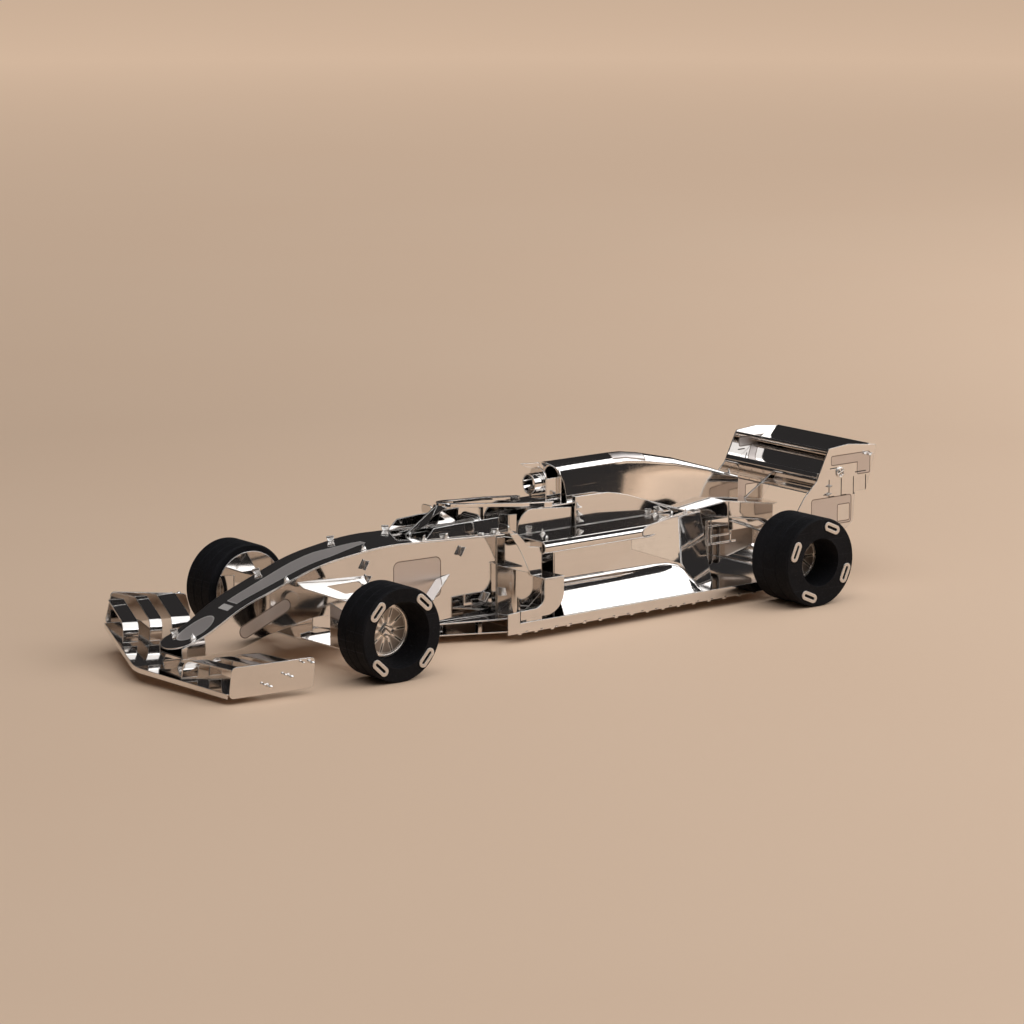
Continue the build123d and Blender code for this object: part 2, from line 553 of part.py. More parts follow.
def make_tail():
    top = body_deck_z(-84) - 1.2 * SHEET - SEAT
    foot = FLOOR_TOP + SEAT
    frame = polygon([(-9.8, foot), (9.8, foot), (9.8, top - 4), (7, top), (-7, top), (-9.8, top - 4)])
    windows = [Pos(y, 31.5, 0) * Rectangle(5.5, 6) for y in (-4.2, 4.2)]
    pieces["rear_bulkhead"] = over_x(frame - windows, -84.4, -83.9)

    sections = [(-84.5, 6.5, 11, 27), (REAR_AXLE + 5.1, 6.0, 12, 26.5), (REAR_AXLE - 12.9, 3.6, 15, 24)]
    box = loft([
        Plane.YZ.offset(x) * rounded([(-half, low), (half, low), (half, high), (-half, high)], 1.5)
        for x, half, low, high in sections
    ], ruled=True)
    ribs = [
        over_x(rounded([(-7, 10.4), (7, 10.4), (7, 27.4), (-7, 27.4)], 2), x, x - 0.6)
        for x in (-88, -92, -96, -100)
    ]
    pieces["gearbox"] = box + ribs

    inner = REAR_WING_HALF - SHEET - SEAT
    outline = rounded([(REAR_AXLE - back, z) for back, z in WING_PLATE], 1.2)
    pair("rear_wing_endplates", over_y(outline, REAR_WING_HALF, REAR_WING_HALF - SHEET))
    # lines of the three planes: points as distance behind the axle and height, then the bends' radii
    planes = {
        "rear_wing_main_plane": ([(27.2, 48.8), (25.9, 45.4), (35.0, 47.2), (43.8, 53.4)], [1.2, 12]),
        "rear_wing_flap": ([(41.6, 56.0), (40.8, 54.2), (47.8, 55.4), (56.8, 58.8)], [0.7, 9]),
        "rear_wing_beam": ([(20.8, 41.4), (27.6, 42.0), (36.8, 45.0)], [14]),
    }
    for name, (points, bends) in planes.items():
        line = FilletPolyline(*[(REAR_AXLE - back, z) for back, z in points], radius=bends)
        pieces[name] = over_y(folded(line, Side.LEFT), inner, -inner)
    stands_on = [(x, body_deck_z(x) + SEAT) for x in (REAR_AXLE - 11, REAR_AXLE - 21)]
    pylon = over_y(polygon([*stands_on, (REAR_AXLE - 30.4, 45.6), (REAR_AXLE - 26.4, 44.8)]), 0.4, -0.4)
    pieces["rear_wing_beam"] += pylon


# Front wing, drawn level, then set down rolled, turned and pitched about the nose

def make_front_wing():
    centre_x = NOSE_TIP - 18.5
    turn = Rot(0, 0, WING_YAW) * Rot(0, WING_PITCH, 0) * Rot(WING_ROLL, 0, 0)
    seat = Pos(centre_x, 0, WING_TIP_Z) * turn * Pos(-centre_x, 0, -WING_TIP_Z)
    span = WING_HALF - SHEET - SEAT
    tip_x, low = WING_TIP_X, WING_TIP_Z
    rear_x = tip_x - 50
    sheet_line = Polyline((-span, low + WING_RISE), (0, low), (span, low + WING_RISE))
    vee = over_x(folded(sheet_line), rear_x, tip_x + 3)
    end_x = tip_x - WING_SWEEP
    plan = polygon([
        (tip_x, -3), (tip_x, 3), (end_x, span), (end_x - 16, span), (tip_x - 26, 22), (tip_x - 22, 10),
        (tip_x - 22, -10), (tip_x - 26, -22), (end_x - 16, -span), (end_x, -span),
    ])
    lip_line = Polyline(
        (-span, low + WING_RISE - WING_LIP), (0, low - WING_LIP), (span, low + WING_RISE - WING_LIP),
    )
    lip_vee = over_x(folded(lip_line, thickness=WING_LIP), rear_x, tip_x + 3)
    lip_plan = polygon([
        (tip_x, -3), (tip_x, 3), (end_x, span), (end_x - SHEET, span), (tip_x - SHEET, 3),
        (tip_x - SHEET, -3), (end_x - SHEET, -span), (end_x, -span),
    ])
    main_plane = common(vee, over_z(plan, 0, 20)) + common(lip_vee, over_z(lip_plan, 0, 20))
    pieces["front_wing_main_plane"] = seat * main_plane

    # Each flap follows the main plane's sweep and curls down to it at its inner end
    inner_x = tip_x - WING_SWEEP * FLAP_INNER_Y / span
    base = low + WING_RISE * FLAP_INNER_Y / WING_HALF + SHEET + 0.9
    flaps = []
    for back, width, height in FLAPS:
        top = base + height
        curl = FilletPolyline((span, top), (FLAP_INNER_Y, top - 2.6), (FLAP_INNER_Y, base), radius=5.5)
        plan = polygon([
            (inner_x - back + 0.6, FLAP_INNER_Y - 1), (end_x - back, span + 1),
            (end_x - back - width, span + 1), (inner_x - back - width + 0.6, FLAP_INNER_Y - 1),
        ])
        flap = common(over_x(folded(curl, Side.LEFT), rear_x, tip_x), over_z(plan, 0, 30))
        flaps += [flap, other_side(flap)]
    pieces["front_wing_flaps"] = seat * (Part() + flaps)

    for side, turned in (("left", 1), ("right", -1)):
        corners = [(end_x - back, low + WING_RISE + high) for back, high in ENDPLATES[side]]
        face = WING_HALF * turned
        endplate = over_y(rounded(corners, 1.8), face, face - SHEET * turned)
        pieces["front_wing_endplate_" + side] = seat * endplate

    # Two pylons join the nose to the wing, cut off at the wing's sloping top
    pylons = []
    half_sheet = SHEET / 2
    fin = polygon([(NOSE_TIP - 0.5, 2), (NOSE_TIP - 9.5, 2), (NOSE_TIP - 11.5, 8.5), (TUB_FRONT - 1, 8.5)])
    for y in (-5.5, 5.5):
        pylons.append(over_y(fin, y + half_sheet, y - half_sheet))
    top = low + SHEET + SEAT
    slopes = polygon([(-span, -20), (-span, top + WING_RISE), (0, top), (span, top + WING_RISE), (span, -20)])
    pieces["front_wing_pylons"] = (Part() + pylons) - seat * over_x(slopes, rear_x, tip_x + 3)


# Suspension: folded wishbone plates, rods, and the carriers with their stub axles

def carrier_face(end):
    """Inner Y of the parts that reach out to a carrier."""
    return OUTER_FACE - WHEELS[end].width - CARRIER_GAP


def make_front_suspension():
    carrier_y = carrier_face("front")
    tip_y = carrier_y - SHEET - SEAT
    roots = [(x, tub_y(x) + SEAT) for x in (FRONT_AXLE + 13.9, FRONT_AXLE - 17.1)]
    start_y = roots[0][1]
    upper = wishbone(roots, [(start_y - 2, 33.7), (start_y + 2.6, 30.5), (tip_y, TYRE_R + 7.5)])
    roots = [(x, BRACKET_HALF + SEAT) for x in (FRONT_AXLE + 12.3, FRONT_AXLE - 11.0)]
    lower = wishbone(roots, [(BRACKET_HALF, BRACKET_Z + SHEET), (tip_y, TYRE_R - 11.4)])
    both_sides("front_wishbones", upper + lower)
    root_x = 51.0
    room = polygon([
        (TUB_REAR, tub_y(TUB_REAR) + SEAT), (TUB_FRONT, tub_y(TUB_FRONT) + SEAT),
        (TUB_FRONT, tip_y), (TUB_REAR, tip_y),
    ])
    rod = strap((root_x, tub_y(root_x) - 2.5, 27.5), (FRONT_AXLE - 14.0, carrier_y + 1, 13.6), 4.3)
    pair("front_track_rods", common(rod, over_z(room, 0, 60)))
    # A duct plate stands inwards from the carrier, ahead of the axle
    duct = polygon([
        (carrier_y - 10, 11.5), (carrier_y - 10, 28.5), (carrier_y - SHEET, 26.5), (carrier_y - SHEET, 11.5),
    ])
    duct_x = FRONT_AXLE + 13.7
    both_sides("front_carrier", carrier("front") + over_x(duct, duct_x, duct_x + SHEET))


def wishbone(roots, slope):
    """A windowed triangular plate from two root corners, in (X, Y), out to a front wheel's carrier.
    The slope is its underside, in (Y, Z)."""
    (front_x, front_y), (rear_x, rear_y) = roots
    tip_x, tip_half, tip_y = FRONT_AXLE, 3.5, slope[-1][0]
    plan = polygon([
        (front_x, front_y), (tip_x + tip_half, tip_y), (tip_x - tip_half, tip_y), (rear_x, rear_y),
    ])
    hole = rounded([
        (front_x - 10.5, front_y + 4.2), (rear_x + 4, front_y + 4.2),
        (tip_x - 7.5, front_y + 15), (tip_x + 1.5, front_y + 15),
    ], 1)
    sheet = over_x(folded(Polyline(*slope)), rear_x, front_x)
    return common(sheet, over_z(plan - hole, 0, 60))


def carrier(end):
    """Disc behind a left wheel with the stub axle the wheel turns on, and the axle's end cap."""
    wheel = WHEELS[end]
    face_y = carrier_face(end)
    reach = OUTER_FACE - wheel.depth - face_y
    face = Plane((wheel.axle_x, face_y, TYRE_R), x_dir=(1, 0, 0), z_dir=(0, 1, 0))
    disc = extrude(face * Circle(wheel.carrier_r), amount=-SHEET)
    boss = extrude(face * Circle(BOSS_R), amount=-2.2)
    axle = extrude(face * Circle(AXLE_R), amount=reach + CAP_GAP)
    cap = extrude(face.offset(reach + CAP_GAP) * Rot(0, 0, 45) * Rectangle(CAP_SIDE, CAP_SIDE), amount=0.6)
    return disc + boss + axle + cap


def make_rear_suspension():
    tip_y = carrier_face("rear") - SHEET - SEAT
    root_y = BODY_PLATE_Y + SHEET
    room = over_z(polygon([
        (REAR_AXLE - 30, root_y + SEAT), (-70, root_y + SEAT), (-70, tip_y), (REAR_AXLE - 30, tip_y),
    ]), 0, 60)
    high, low = TYRE_R + 8, TYRE_R - 6
    # root: distance behind the axle and height, tip: the same
    legs = []
    for back, root_z, tip_back, tip_z in ((-5, 29.5, -2.5, high), (10, 28.5, 2.5, high)):
        legs.append(strap((REAR_AXLE - back, root_y, root_z), (REAR_AXLE - tip_back, tip_y + 1, tip_z), 3.0))
    arms = Part() + [common(leg, room) for leg in legs]
    inboard = over_z(polygon([
        (REAR_AXLE - 30, 7.3), (-70, 7.3), (-70, tip_y), (REAR_AXLE - 30, tip_y),
    ]), 0, 60)
    for back, root_z, tip_back in ((-14.5, 15.6, -4.5), (9.0, 17.0, 4.5)):
        rod = strap((REAR_AXLE - back, 6.5, root_z), (REAR_AXLE - tip_back, tip_y + 1, low), 3.0)
        arms += common(rod, inboard)
    both_sides("rear_wishbones", arms)
    both_sides("rear_carrier", carrier("rear"))


# Wheels: a tyre of stacked foam rings, a spoked hub and four slotted clamp plates

def make_wheel(end):
    wheel = WHEELS[end]
    place = Pos(wheel.axle_x, 0, TYRE_R)
    inner_y = OUTER_FACE - wheel.width
    disc_y = OUTER_FACE - wheel.depth
    groove, corner = 0.35, 0.6
    back_step, back_hole_r = 2.0, wheel.disc_r + 2.6
    tread = [(inner_y, TYRE_R - corner), (inner_y + corner, TYRE_R)]
    for number in range(1, wheel.rings):
        seam_y = inner_y + number * wheel.width / wheel.rings
        tread += [(seam_y - groove, TYRE_R), (seam_y, TYRE_R - groove), (seam_y + groove, TYRE_R)]
    tread += [(OUTER_FACE - corner, TYRE_R), (OUTER_FACE, TYRE_R - corner)]
    hole = [
        (OUTER_FACE, wheel.hole_r), (disc_y, wheel.disc_r), (inner_y + back_step, wheel.disc_r),
        (inner_y + back_step, back_hole_r), (inner_y, back_hole_r),
    ]
    profile = make_face(Polyline(*tread, *hole, close=True))
    both_sides(f"{end}_tyre", place * revolve(Plane.YZ * profile, Axis.Y))

    # Hub: a disc with ten slits, a rim flange in the tyre and a sleeve on the axle
    plane = Plane((wheel.axle_x, disc_y - SHEET, TYRE_R), x_dir=(1, 0, 0), z_dir=(0, 1, 0))
    back = disc_y - SHEET - inner_y
    outer = wheel.disc_r - SEAT
    ring = plane * (Circle(outer) - Circle(outer - 0.8))
    disc = extrude(plane * Circle(outer), amount=SHEET)
    rim = extrude(ring, amount=-(back - back_step - SEAT)) + extrude(ring, amount=SHEET + 0.5)
    sleeve = extrude(plane * Circle(SLEEVE_R), amount=-(back - SEAT))
    hub = disc + rim + sleeve
    hub -= extrude(plane.offset(SHEET) * Circle(AXLE_R + RUN), amount=-wheel.width)
    slits = 10
    for number in range(slits):
        slit = Rot(0, 0, number * 360 / slits) * Pos(outer * 0.68, 0) * Rectangle(outer * 0.36, 0.4)
        hub -= extrude(plane.offset(-SHEET) * slit, amount=3 * SHEET)
    both_sides(f"{end}_hub", hub)

    # Four slotted clamp plates lie on the tyre's outer face
    clamp_face = SlotOverall(CLAMP_LENGTH, CLAMP_WIDTH) - SlotOverall(CLAMP_LENGTH - 2.6, 1.2)
    face_plane = Plane((wheel.axle_x, OUTER_FACE, TYRE_R), x_dir=(1, 0, 0), z_dir=(0, 1, 0))
    clamps = []
    for number in range(4):
        spot = Rot(0, 0, wheel.phase + 90 * number) * Pos(wheel.clamp_r, 0) * Rot(0, 0, 90) * clamp_face
        clamps.append(extrude(face_plane * spot, amount=CLAMP_THICK))
    both_sides(f"{end}_tyre_clamps", Part() + clamps)


def make_mirrors():
    glass = over_x(rounded([(22.5, 43.5), (29.0, 43.5), (29.0, 47.2), (22.5, 47.2)], 1.2), 31.4, 32.0)
    stalk = over_y(polygon([(30.4, 43.3), (28.0, 43.3), (31.2, 45.6), (31.7, 45.6)]), 28.4, 28.0)
    pair("mirrors", glass + stalk)


def main():
    make_tub()
    make_cockpit()
    make_halo()
    make_floor()
    make_pod_deck()
    make_pod_wall()
    make_pod_skin()
    make_pod_inlet()
    make_turning_vane()
    make_mirrors()
    make_body_top()
    make_tail()
    make_front_wing()
    make_front_suspension()
    make_rear_suspension()
    for end in WHEELS:
        make_wheel(end)


main()
whole = Compound(children=[Compound(piece.solids()) for piece in pieces.values()]).bounding_box()
shift = -(whole.min.X + whole.max.X) / 2
os.makedirs("parts", exist_ok=True)
for name, shape in pieces.items():
    export_step(Pos(shift, 0, 0) * shape, f"parts/{name}.step")
axles = [round(x + shift, 3) for x in (FRONT_AXLE, REAR_AXLE)]
print("moved along X by", round(shift, 3), "axles at", *axles)
print("size", whole.size)
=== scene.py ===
# Looks of a folded sheet-steel display model of an open-wheel racing car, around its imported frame.
# Places are given in millimetres with X = 0 midway between the axles, as the model's maker draws it:
# +X to the nose, +Y to the car's left, +Z up from the ground.
import json
import math

import bmesh
import bpy
from mathutils import Matrix, Vector
from mathutils.bvhtree import BVHTree


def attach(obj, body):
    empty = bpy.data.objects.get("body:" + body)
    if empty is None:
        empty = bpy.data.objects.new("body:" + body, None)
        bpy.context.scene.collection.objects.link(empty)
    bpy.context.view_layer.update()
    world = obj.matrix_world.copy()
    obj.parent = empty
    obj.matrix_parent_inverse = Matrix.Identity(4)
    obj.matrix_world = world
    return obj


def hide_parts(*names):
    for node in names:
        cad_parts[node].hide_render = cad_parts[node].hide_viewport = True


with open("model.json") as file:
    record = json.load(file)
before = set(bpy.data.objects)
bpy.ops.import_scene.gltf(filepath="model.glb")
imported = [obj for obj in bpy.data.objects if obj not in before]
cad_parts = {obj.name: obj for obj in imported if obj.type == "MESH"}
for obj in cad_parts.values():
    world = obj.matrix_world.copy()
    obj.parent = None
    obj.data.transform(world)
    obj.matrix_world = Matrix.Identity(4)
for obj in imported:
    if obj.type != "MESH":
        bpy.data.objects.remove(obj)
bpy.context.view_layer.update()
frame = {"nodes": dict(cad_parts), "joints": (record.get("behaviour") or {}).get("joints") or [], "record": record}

MM = 0.001
AXLES = {joint["name"]: Vector(joint["pos_m"]) for joint in frame["joints"]}
MIDDLE_X = (AXLES["front_left_spin"].x + AXLES["rear_left_spin"].x) / 2
HALF_WHEELBASE = (AXLES["front_left_spin"].x - MIDDLE_X) / MM
WHEEL_RADIUS = AXLES["front_left_spin"].z / MM
SHEET = 0.5         # thickness of the folded plates

SIDES = ((1, "left"), (-1, "right"))
ALONG_X, ALONG_Z, DOWN = (1, 0, 0), (0, 0, 1), (0, 0, -1)


def place(x, y, z):
    """A point of the maker's frame, in metres in the row frame."""
    return Vector((MIDDLE_X + x * MM, y * MM, z * MM))


# Node helpers

def new_group(name, inputs, outputs):
    """An empty node group: its tree, its input node and its output node."""
    group = bpy.data.node_groups.new(name, "ShaderNodeTree")
    for label, kind, value in inputs:
        socket = group.interface.new_socket(name=label, in_out="INPUT", socket_type=kind)
        if value is not None:
            socket.default_value = value
    for label, kind in outputs:
        group.interface.new_socket(name=label, in_out="OUTPUT", socket_type=kind)
    return group, group.nodes.new("NodeGroupInput"), group.nodes.new("NodeGroupOutput")


def add(tree, kind, **settings):
    """A new node with its settings."""
    node = tree.nodes.new(kind)
    for key, value in settings.items():
        setattr(node, key, value)
    return node


def connect(tree, value, socket):
    """Links another node's output to an input, or sets the input's own value."""
    if isinstance(value, bpy.types.NodeSocket):
        tree.links.new(value, socket)
    else:
        socket.default_value = value


def feed(tree, node, **values):
    """Connects a node's inputs by name, with _ for a space."""
    for key, value in values.items():
        connect(tree, value, node.inputs[key.replace("_", " ")])
    return node


def maths(tree, operation, *values, clamp=False):
    """A Math node's output."""
    node = add(tree, "ShaderNodeMath", operation=operation, use_clamp=clamp)
    for value, socket in zip(values, node.inputs):
        connect(tree, value, socket)
    return node.outputs[0]


def times(tree, first, second):
    return maths(tree, "MULTIPLY", first, second)


def plus(tree, first, second, clamp=False):
    return maths(tree, "ADD", first, second, clamp=clamp)


def minus(tree, first, second):
    return maths(tree, "SUBTRACT", first, second)


def larger(tree, first, second):
    return maths(tree, "MAXIMUM", first, second)


def hypotenuse(tree, first, second):
    """The distance of a point from the origin of its plane."""
    return maths(tree, "SQRT", plus(tree, times(tree, first, first), times(tree, second, second)))


def vector_maths(tree, operation, *values):
    """A Vector Math node."""
    node = add(tree, "ShaderNodeVectorMath", operation=operation)
    for value, socket in zip(values, node.inputs):
        connect(tree, value, socket)
    return node


def axes(tree, vector):
    """A vector's X, Y and Z."""
    return feed(tree, add(tree, "ShaderNodeSeparateXYZ"), Vector=vector).outputs


def remap(tree, value, low, high, to_low=0.0, to_high=1.0):
    """A value moved from one range to another, and kept inside it."""
    node = add(tree, "ShaderNodeMapRange")
    feed(tree, node, Value=value, From_Min=low, From_Max=high, To_Min=to_low, To_Max=to_high)
    return node.outputs[0]


def noise(tree, vector, scale, detail, roughness):
    """A noise texture's value."""
    node = add(tree, "ShaderNodeTexNoise")
    feed(tree, node, Vector=vector, Scale=scale, Detail=detail, Roughness=roughness)
    return node.outputs["Fac"]


def stretched(tree, vector, scale, turn=(0.0, 0.0, 0.0)):
    """Coordinates scaled by axis, then turned."""
    node = add(tree, "ShaderNodeMapping")
    return feed(tree, node, Vector=vector, Rotation=turn, Scale=scale).outputs[0]


def measured(tree, vector, centre, turn=(0.0, 0.0, 0.0), unit=(MM, MM, MM)):
    """Coordinates measured from a place, along turned axes and in millimetres or another unit."""
    node = add(tree, "ShaderNodeMapping", vector_type="TEXTURE")
    return feed(tree, node, Vector=vector, Location=centre, Rotation=turn, Scale=unit).outputs[0]


def blend_colour(tree, mask, first, second):
    """A colour mixed by a mask, through the Mix node's colour sockets."""
    node = add(tree, "ShaderNodeMix", data_type="RGBA")
    for index, value in ((0, mask), (6, first), (7, second)):
        connect(tree, value, node.inputs[index])
    return node.outputs[2]


# Effects that several finishes share

def make_rolling():
    """Rolling marks of sheet metal: long fine streaks along X, and a slow unevenness."""
    tree, given, out = new_group(
        "rolling_marks",
        [("Vector", "NodeSocketVector", None)],
        [("Streaks", "NodeSocketFloat"), ("Waves", "NodeSocketFloat")],
    )
    vector = given.outputs["Vector"]
    fine = stretched(tree, vector, (12.0, 900.0, 900.0))
    slow = stretched(tree, vector, (14.0, 22.0, 22.0))
    feed(tree, out, Streaks=noise(tree, fine, scale=1.0, detail=4.0, roughness=0.7),
         Waves=noise(tree, slow, scale=1.0, detail=1.5, roughness=0.4))
    return tree


def make_handling():
    """Marks of handling: faint smudges and a few fine scratches in crossing directions."""
    tree, given, out = new_group(
        "handling_marks",
        [("Vector", "NodeSocketVector", None), ("Amount", "NodeSocketFloat", 1.0)],
        [("Smudges", "NodeSocketFloat"), ("Scratches", "NodeSocketFloat")],
    )
    vector, amount = given.outputs["Vector"], given.outputs["Amount"]
    cloud = noise(tree, vector, scale=55.0, detail=5.0, roughness=0.65)
    lines = []
    for angle, scale in ((0.5, (30.0, 2400.0, 2400.0)), (-0.9, (2200.0, 40.0, 1800.0))):
        turned = stretched(tree, vector, scale, turn=(angle, angle * 0.7, angle))
        line = noise(tree, turned, scale=1.0, detail=0.0, roughness=0.5)
        lines.append(remap(tree, line, 0.74, 0.80))
    feed(tree, out, Smudges=times(tree, remap(tree, cloud, 0.52, 0.72), amount),
         Scratches=times(tree, larger(tree, *lines), amount))
    return tree


def make_edge_mask():
    """Cut edges: how sharply the surface turns, and the normal of a slightly rounded edge. On steel the mask
    carries a painted highlight, on foam it carries dust.
    """
    tree, given, out = new_group(
        "edge_highlight_and_dust_mask",
        [("Width", "NodeSocketFloat", 0.35 * MM)],
        [("Edge", "NodeSocketFloat"), ("Normal", "NodeSocketVector")],
    )
    bevel = add(tree, "ShaderNodeBevel", samples=6)
    feed(tree, bevel, Radius=given.outputs["Width"])
    rounded = bevel.outputs["Normal"]
    flat = add(tree, "ShaderNodeNewGeometry").outputs["Normal"]
    likeness = vector_maths(tree, "DOT_PRODUCT", rounded, flat).outputs["Value"]
    feed(tree, out, Edge=remap(tree, likeness, 0.985, 0.88), Normal=rounded)
    return tree


def make_etched_field():
    """Distance in millimetres from the border of a rounded rectangle, negative inside it."""
    tree, given, out = new_group(
        "etched_field",
        [("Vector", "NodeSocketVector", None), ("Centre", "NodeSocketVector", None),
         ("Turn", "NodeSocketVector", None), ("Half", "NodeSocketVector", None),
         ("Corner", "NodeSocketFloat", 1.0)],
        [("Distance", "NodeSocketFloat")],
    )
    vector, centre, turn, half, corner = given.outputs[:5]
    aside = vector_maths(tree, "ABSOLUTE", measured(tree, vector, centre, turn)).outputs[0]
    over = axes(tree, vector_maths(tree, "SUBTRACT", aside, half).outputs[0])
    beyond = [larger(tree, plus(tree, over[axis], corner), 0.0) for axis in (0, 1)]
    feed(tree, out, Distance=minus(tree, hypotenuse(tree, *beyond), corner))
    return tree


ROLLING = make_rolling()
HANDLING = make_handling()
EDGE_HIGHLIGHT_AND_DUST = make_edge_mask()
ETCHED_FIELD = make_etched_field()


# Finishes

BRIGHT, BRIGHT_WORN = (0.80, 0.775, 0.755, 1), (0.70, 0.675, 0.655, 1)
# the cut edges' light tint is a painted highlight; their roughness is their own
EDGE_HIGHLIGHT_TINT, EDGE_ROUGHNESS = (0.97, 0.95, 0.93, 1), 0.28
FROSTED_TINT = (0.69, 0.63, 0.61, 1)
# the nose deck's light field rim is a painted highlight along the etch's edge
BRIGHT_RIM = (0.92, 0.88, 0.85, 1)
DARK_RIM = (0.26, 0.21, 0.18, 1)
# near black painted inside slits: the painted shade in an opening cut through the sheet
SLIT_SHADE = (0.02, 0.018, 0.016, 1)
FOAM_BLACK, FOAM_DUST = (0.0035, 0.0035, 0.005, 1), (0.028, 0.028, 0.036, 1)
SMUDGE_ROUGHNESS, RIM_ROUGHNESS, SLIT_ROUGHNESS = 0.06, 0.62, 0.6
# how strongly rolling streaks, frosting and the painted highlight on cut edges show
STREAK_SHARE, FROST_SHARE, EDGE_HIGHLIGHT_SHARE = 0.5, 0.8, 0.8
# in millimetres: how far a field's and a slit's border is blurred to each side, and where a rim fades
FIELD_BLUR, SLIT_BLUR = 0.06, 0.05
RIM_EDGE, RIM_CORE = 0.30, 0.10
# depths and heights for the bump, as shares of its distance
SCRATCH_DEPTH, FIELD_DEPTH, SLIT_DEPTH, GRAIN_HEIGHT = 0.02, 0.10, 0.5, 0.02


def start_material(name):
    """A new node material: itself, its tree, its Principled node and Object coordinates."""
    material = bpy.data.materials.new(name)
    material.use_nodes = True
    tree = material.node_tree
    coordinates = add(tree, "ShaderNodeTexCoord")
    return material, tree, tree.nodes["Principled BSDF"], coordinates.outputs["Object"]


def placed(tree, group, **values):
    """A node group set in a material."""
    return feed(tree, add(tree, "ShaderNodeGroup", node_tree=group), **values)


def steel(name, colour, worn, roughness, waves, marks, etched=None, slits=None,
          frosting=0.40, frosted=FROSTED_TINT, rim_tint=DARK_RIM):
    """Rolled sheet steel: polished or satin by its roughness, with streaks, smudges and scratches.

    waves is how uneven the sheet is, and marks how much it has been handled. etched and slits are
    functions of (tree, vector) that give a distance in millimetres: inside etched the surface is
    frosted, and inside slits, where the sheet is cut through, it is painted near black as the shade in the
    opening.
    """
    material, tree, shader, vector = start_material(name)
    rolled = placed(tree, ROLLING, Vector=vector).outputs
    handled = placed(tree, HANDLING, Vector=vector, Amount=marks).outputs
    cut = placed(tree, EDGE_HIGHLIGHT_AND_DUST).outputs
    tint = blend_colour(tree, times(tree, rolled["Streaks"], STREAK_SHARE), colour, worn)
    tint = blend_colour(tree, handled["Smudges"], tint, worn)
    rough = plus(tree, roughness, times(tree, rolled["Streaks"], roughness * STREAK_SHARE))
    rough = plus(tree, rough, times(tree, handled["Smudges"], SMUDGE_ROUGHNESS))
    rough = plus(tree, rough, times(tree, cut["Edge"], EDGE_ROUGHNESS), clamp=True)
    scratched = times(tree, handled["Scratches"], -SCRATCH_DEPTH)
    height = plus(tree, times(tree, rolled["Waves"], waves), scratched)
    if etched:
        distance = etched(tree, vector)
        inside = remap(tree, distance, FIELD_BLUR, -FIELD_BLUR)
        rim = remap(tree, maths(tree, "ABSOLUTE", distance), RIM_EDGE, RIM_CORE)
        grain = noise(tree, vector, scale=6000.0, detail=2.0, roughness=0.6)
        tint = blend_colour(tree, times(tree, inside, FROST_SHARE), tint, frosted)
        tint = blend_colour(tree, rim, tint, rim_tint)
        rough = larger(tree, rough, times(tree, inside, frosting))
        rough = larger(tree, rough, times(tree, rim, RIM_ROUGHNESS))
        height = minus(tree, height, times(tree, inside, FIELD_DEPTH))
        height = plus(tree, height, times(tree, times(tree, grain, inside), GRAIN_HEIGHT))
    if slits:
        # inside a slit the sheet is painted near black: painted shade in the opening
        gap = remap(tree, slits(tree, vector), SLIT_BLUR, -SLIT_BLUR)
        tint = blend_colour(tree, gap, tint, SLIT_SHADE)
        rough = larger(tree, rough, times(tree, gap, SLIT_ROUGHNESS))
        height = minus(tree, height, times(tree, gap, SLIT_DEPTH))
    # cut edges are painted lighter: a painted highlight along each edge
    tint = blend_colour(tree, times(tree, cut["Edge"], EDGE_HIGHLIGHT_SHARE), tint, EDGE_HIGHLIGHT_TINT)
    bump = add(tree, "ShaderNodeBump")
    feed(tree, bump, Strength=0.35, Distance=0.4 * MM, Height=height, Normal=cut["Normal"])
    feed(tree, shader, Base_Color=tint, Metallic=1.0, Roughness=rough, Normal=bump.outputs[0])
    return material


def foam(name):
    """Black foam rubber: fine open cells, dusty on its edges."""
    material, tree, shader, vector = start_material(name)
    cells = feed(tree, add(tree, "ShaderNodeTexVoronoi"), Vector=vector, Scale=1500.0).outputs["Distance"]
    grain = noise(tree, vector, scale=900.0, detail=4.0, roughness=0.7)
    cloud = noise(tree, vector, scale=60.0, detail=3.0, roughness=0.6)
    edge = placed(tree, EDGE_HIGHLIGHT_AND_DUST, Width=0.6 * MM).outputs["Edge"]
    scuffs = placed(tree, HANDLING, Vector=vector, Amount=1.0).outputs["Scratches"]
    dust = times(tree, remap(tree, cloud, 0.45, 0.75, 0.0, 0.4), grain)
    dust = plus(tree, dust, times(tree, edge, 0.25))
    dust = plus(tree, dust, times(tree, scuffs, 0.5), clamp=True)
    bump = add(tree, "ShaderNodeBump")
    feed(tree, bump, Strength=0.5, Distance=0.25 * MM,
         Height=plus(tree, times(tree, grain, 0.6), times(tree, cells, 0.5)))
    feed(tree, shader, Base_Color=blend_colour(tree, dust, FOAM_BLACK, FOAM_DUST), Normal=bump.outputs[0],
         Roughness=remap(tree, grain, 0.3, 0.7, 0.66, 0.86), Specular_IOR_Level=0.2)
    return material


# Etched fields and slits of each sheet. A row is a rounded rectangle in the maker's millimetres:
# its centre, half its sides, the radius of its corners and, where it is turned, its angle in degrees

